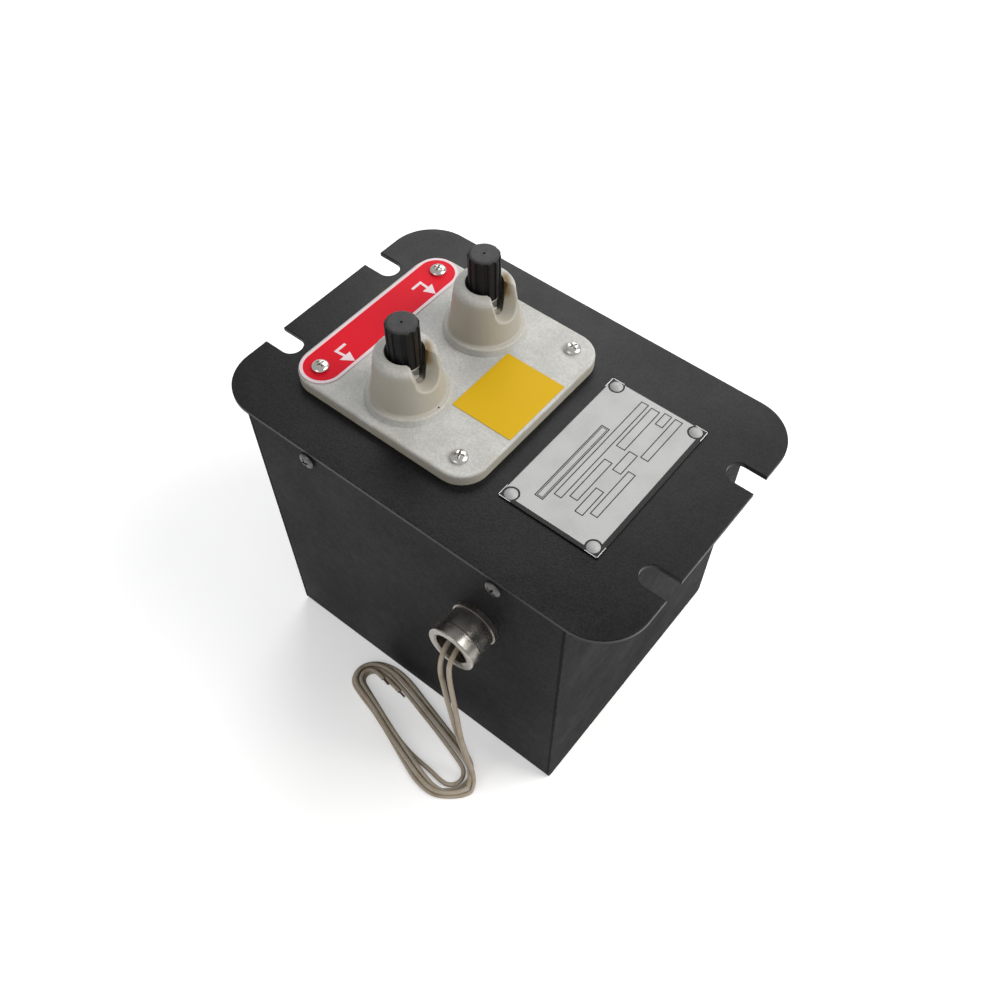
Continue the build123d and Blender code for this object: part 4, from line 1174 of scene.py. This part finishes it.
@dataclass(frozen=True)
class Lamp:
    """A square soft lamp that faces the object."""

    name: str
    place: Point
    size: float
    power: float
    colour: Colour = (1.0, 1.0, 1.0)
    target: Point = (0.0, 0.0, 0.1)

    def build(self) -> None:
        """Hangs the lamp."""
        data = bpy.data.lights.new(self.name, "AREA")
        data.size = self.size
        data.energy = self.power
        data.color = self.colour
        lamp = shown(self.name, data)
        lamp.location = self.place
        aim = Vector(self.target) - Vector(self.place)
        lamp.rotation_euler = aim.to_track_quat("-Z", "Y").to_euler()


@dataclass
class Studio:
    """The pale floor, the soft lamps and the camera at the photograph's angle."""

    eye: Point = (0.17040, -0.21905, 0.47182)
    turn: Point = (32.0785, -1.4250, 37.8292)
    focal: float = 35.608
    film_width: float = 36.0
    shift: tuple[float, float] = (-0.02628, 0.06551)
    floor_half: float = 6.0
    floor_colour: Colour = (0.80, 0.80, 0.80)
    floor_lift: float = 0.35
    world_level: float = 0.48
    lamps: tuple[Lamp, ...] = (
        Lamp("key lamp", (0.85, 0.55, 1.05), 0.9, 17.0, (1.0, 0.99, 0.97)),
        Lamp("rear lamp", (-0.55, 0.95, 0.95), 0.9, 8.0, (0.98, 0.99, 1.0)),
        Lamp("front lamp", (-0.15, -1.15, 0.75), 0.7, 2.4),
    )

    def build(self) -> None:
        """Makes the floor, the world, the lamps and the camera."""
        self._floor()
        self._world()
        for lamp in self.lamps:
            lamp.build()
        self._camera()
        bpy.context.scene.view_settings.view_transform = "Standard"

    def _floor(self) -> None:
        """A pale floor that is white to the camera and keeps the object's shadow."""
        half = self.floor_half
        mesh = bpy.data.meshes.new("floor")
        corners = [(-half, -half, 0), (half, -half, 0), (half, half, 0), (-half, half, 0)]
        mesh.from_pydata(corners, [], [(0, 1, 2, 3)])
        shown("floor", mesh)
        material = bpy.data.materials.new("floor white")
        material.use_nodes = True
        tree = Tree(material.node_tree)
        shader = material.node_tree.nodes["Principled BSDF"]
        shader.inputs["Base Color"].default_value = (*self.floor_colour, 1.0)
        shader.inputs["Roughness"].default_value = 0.9
        shader.inputs["Specular IOR Level"].default_value = 0.1
        shader.inputs["Emission Color"].default_value = (1.0, 1.0, 1.0, 1.0)
        rays = tree.add("ShaderNodeLightPath").outputs
        seen = tree.math("MAXIMUM", rays["Is Camera Ray"], rays["Is Glossy Ray"])
        tree.feed(shader.inputs["Emission Strength"], tree.times(seen, self.floor_lift))
        mesh.materials.append(material)

    def _world(self) -> None:
        """An even pale world, white where the camera sees it or glass shows it."""
        world = bpy.data.worlds.new("studio")
        bpy.context.scene.world = world
        world.use_nodes = True
        tree = Tree(world.node_tree)
        background = world.node_tree.nodes["Background"]
        background.inputs["Color"].default_value = (1.0, 1.0, 1.0, 1.0)
        rays = tree.add("ShaderNodeLightPath").outputs
        seen = tree.math("MAXIMUM", rays["Is Camera Ray"], rays["Is Transmission Ray"])
        strength = tree.ramp(seen, 0.0, 1.0, self.world_level, 1.0)
        tree.feed(background.inputs["Strength"], strength)

    def _camera(self) -> None:
        """The camera, at the place and angle of the photograph."""
        data = bpy.data.cameras.new("camera")
        data.sensor_width = self.film_width
        data.lens = self.focal
        data.shift_x, data.shift_y = self.shift
        camera = shown("camera", data)
        camera.location = self.eye
        camera.rotation_euler = Euler([math.radians(angle) for angle in self.turn], "XYZ")
        bpy.context.scene.camera = camera


def main() -> None:
    """Builds the studio, then dresses and builds each sub-assembly in order."""
    logging.basicConfig(level=logging.INFO, format="%(name)s: %(message)s")
    Studio().build()
    supply = Supply()
    supply.build()
    supply.dress()
    SteelCase().dress()
    board = TerminalBoard()
    board.dress()
    board.build()
    Terminals().dress()
    plate = Nameplate()
    plate.dress()
    plate.build()
    Internals().dress()


if __name__ == "__main__":
    main()
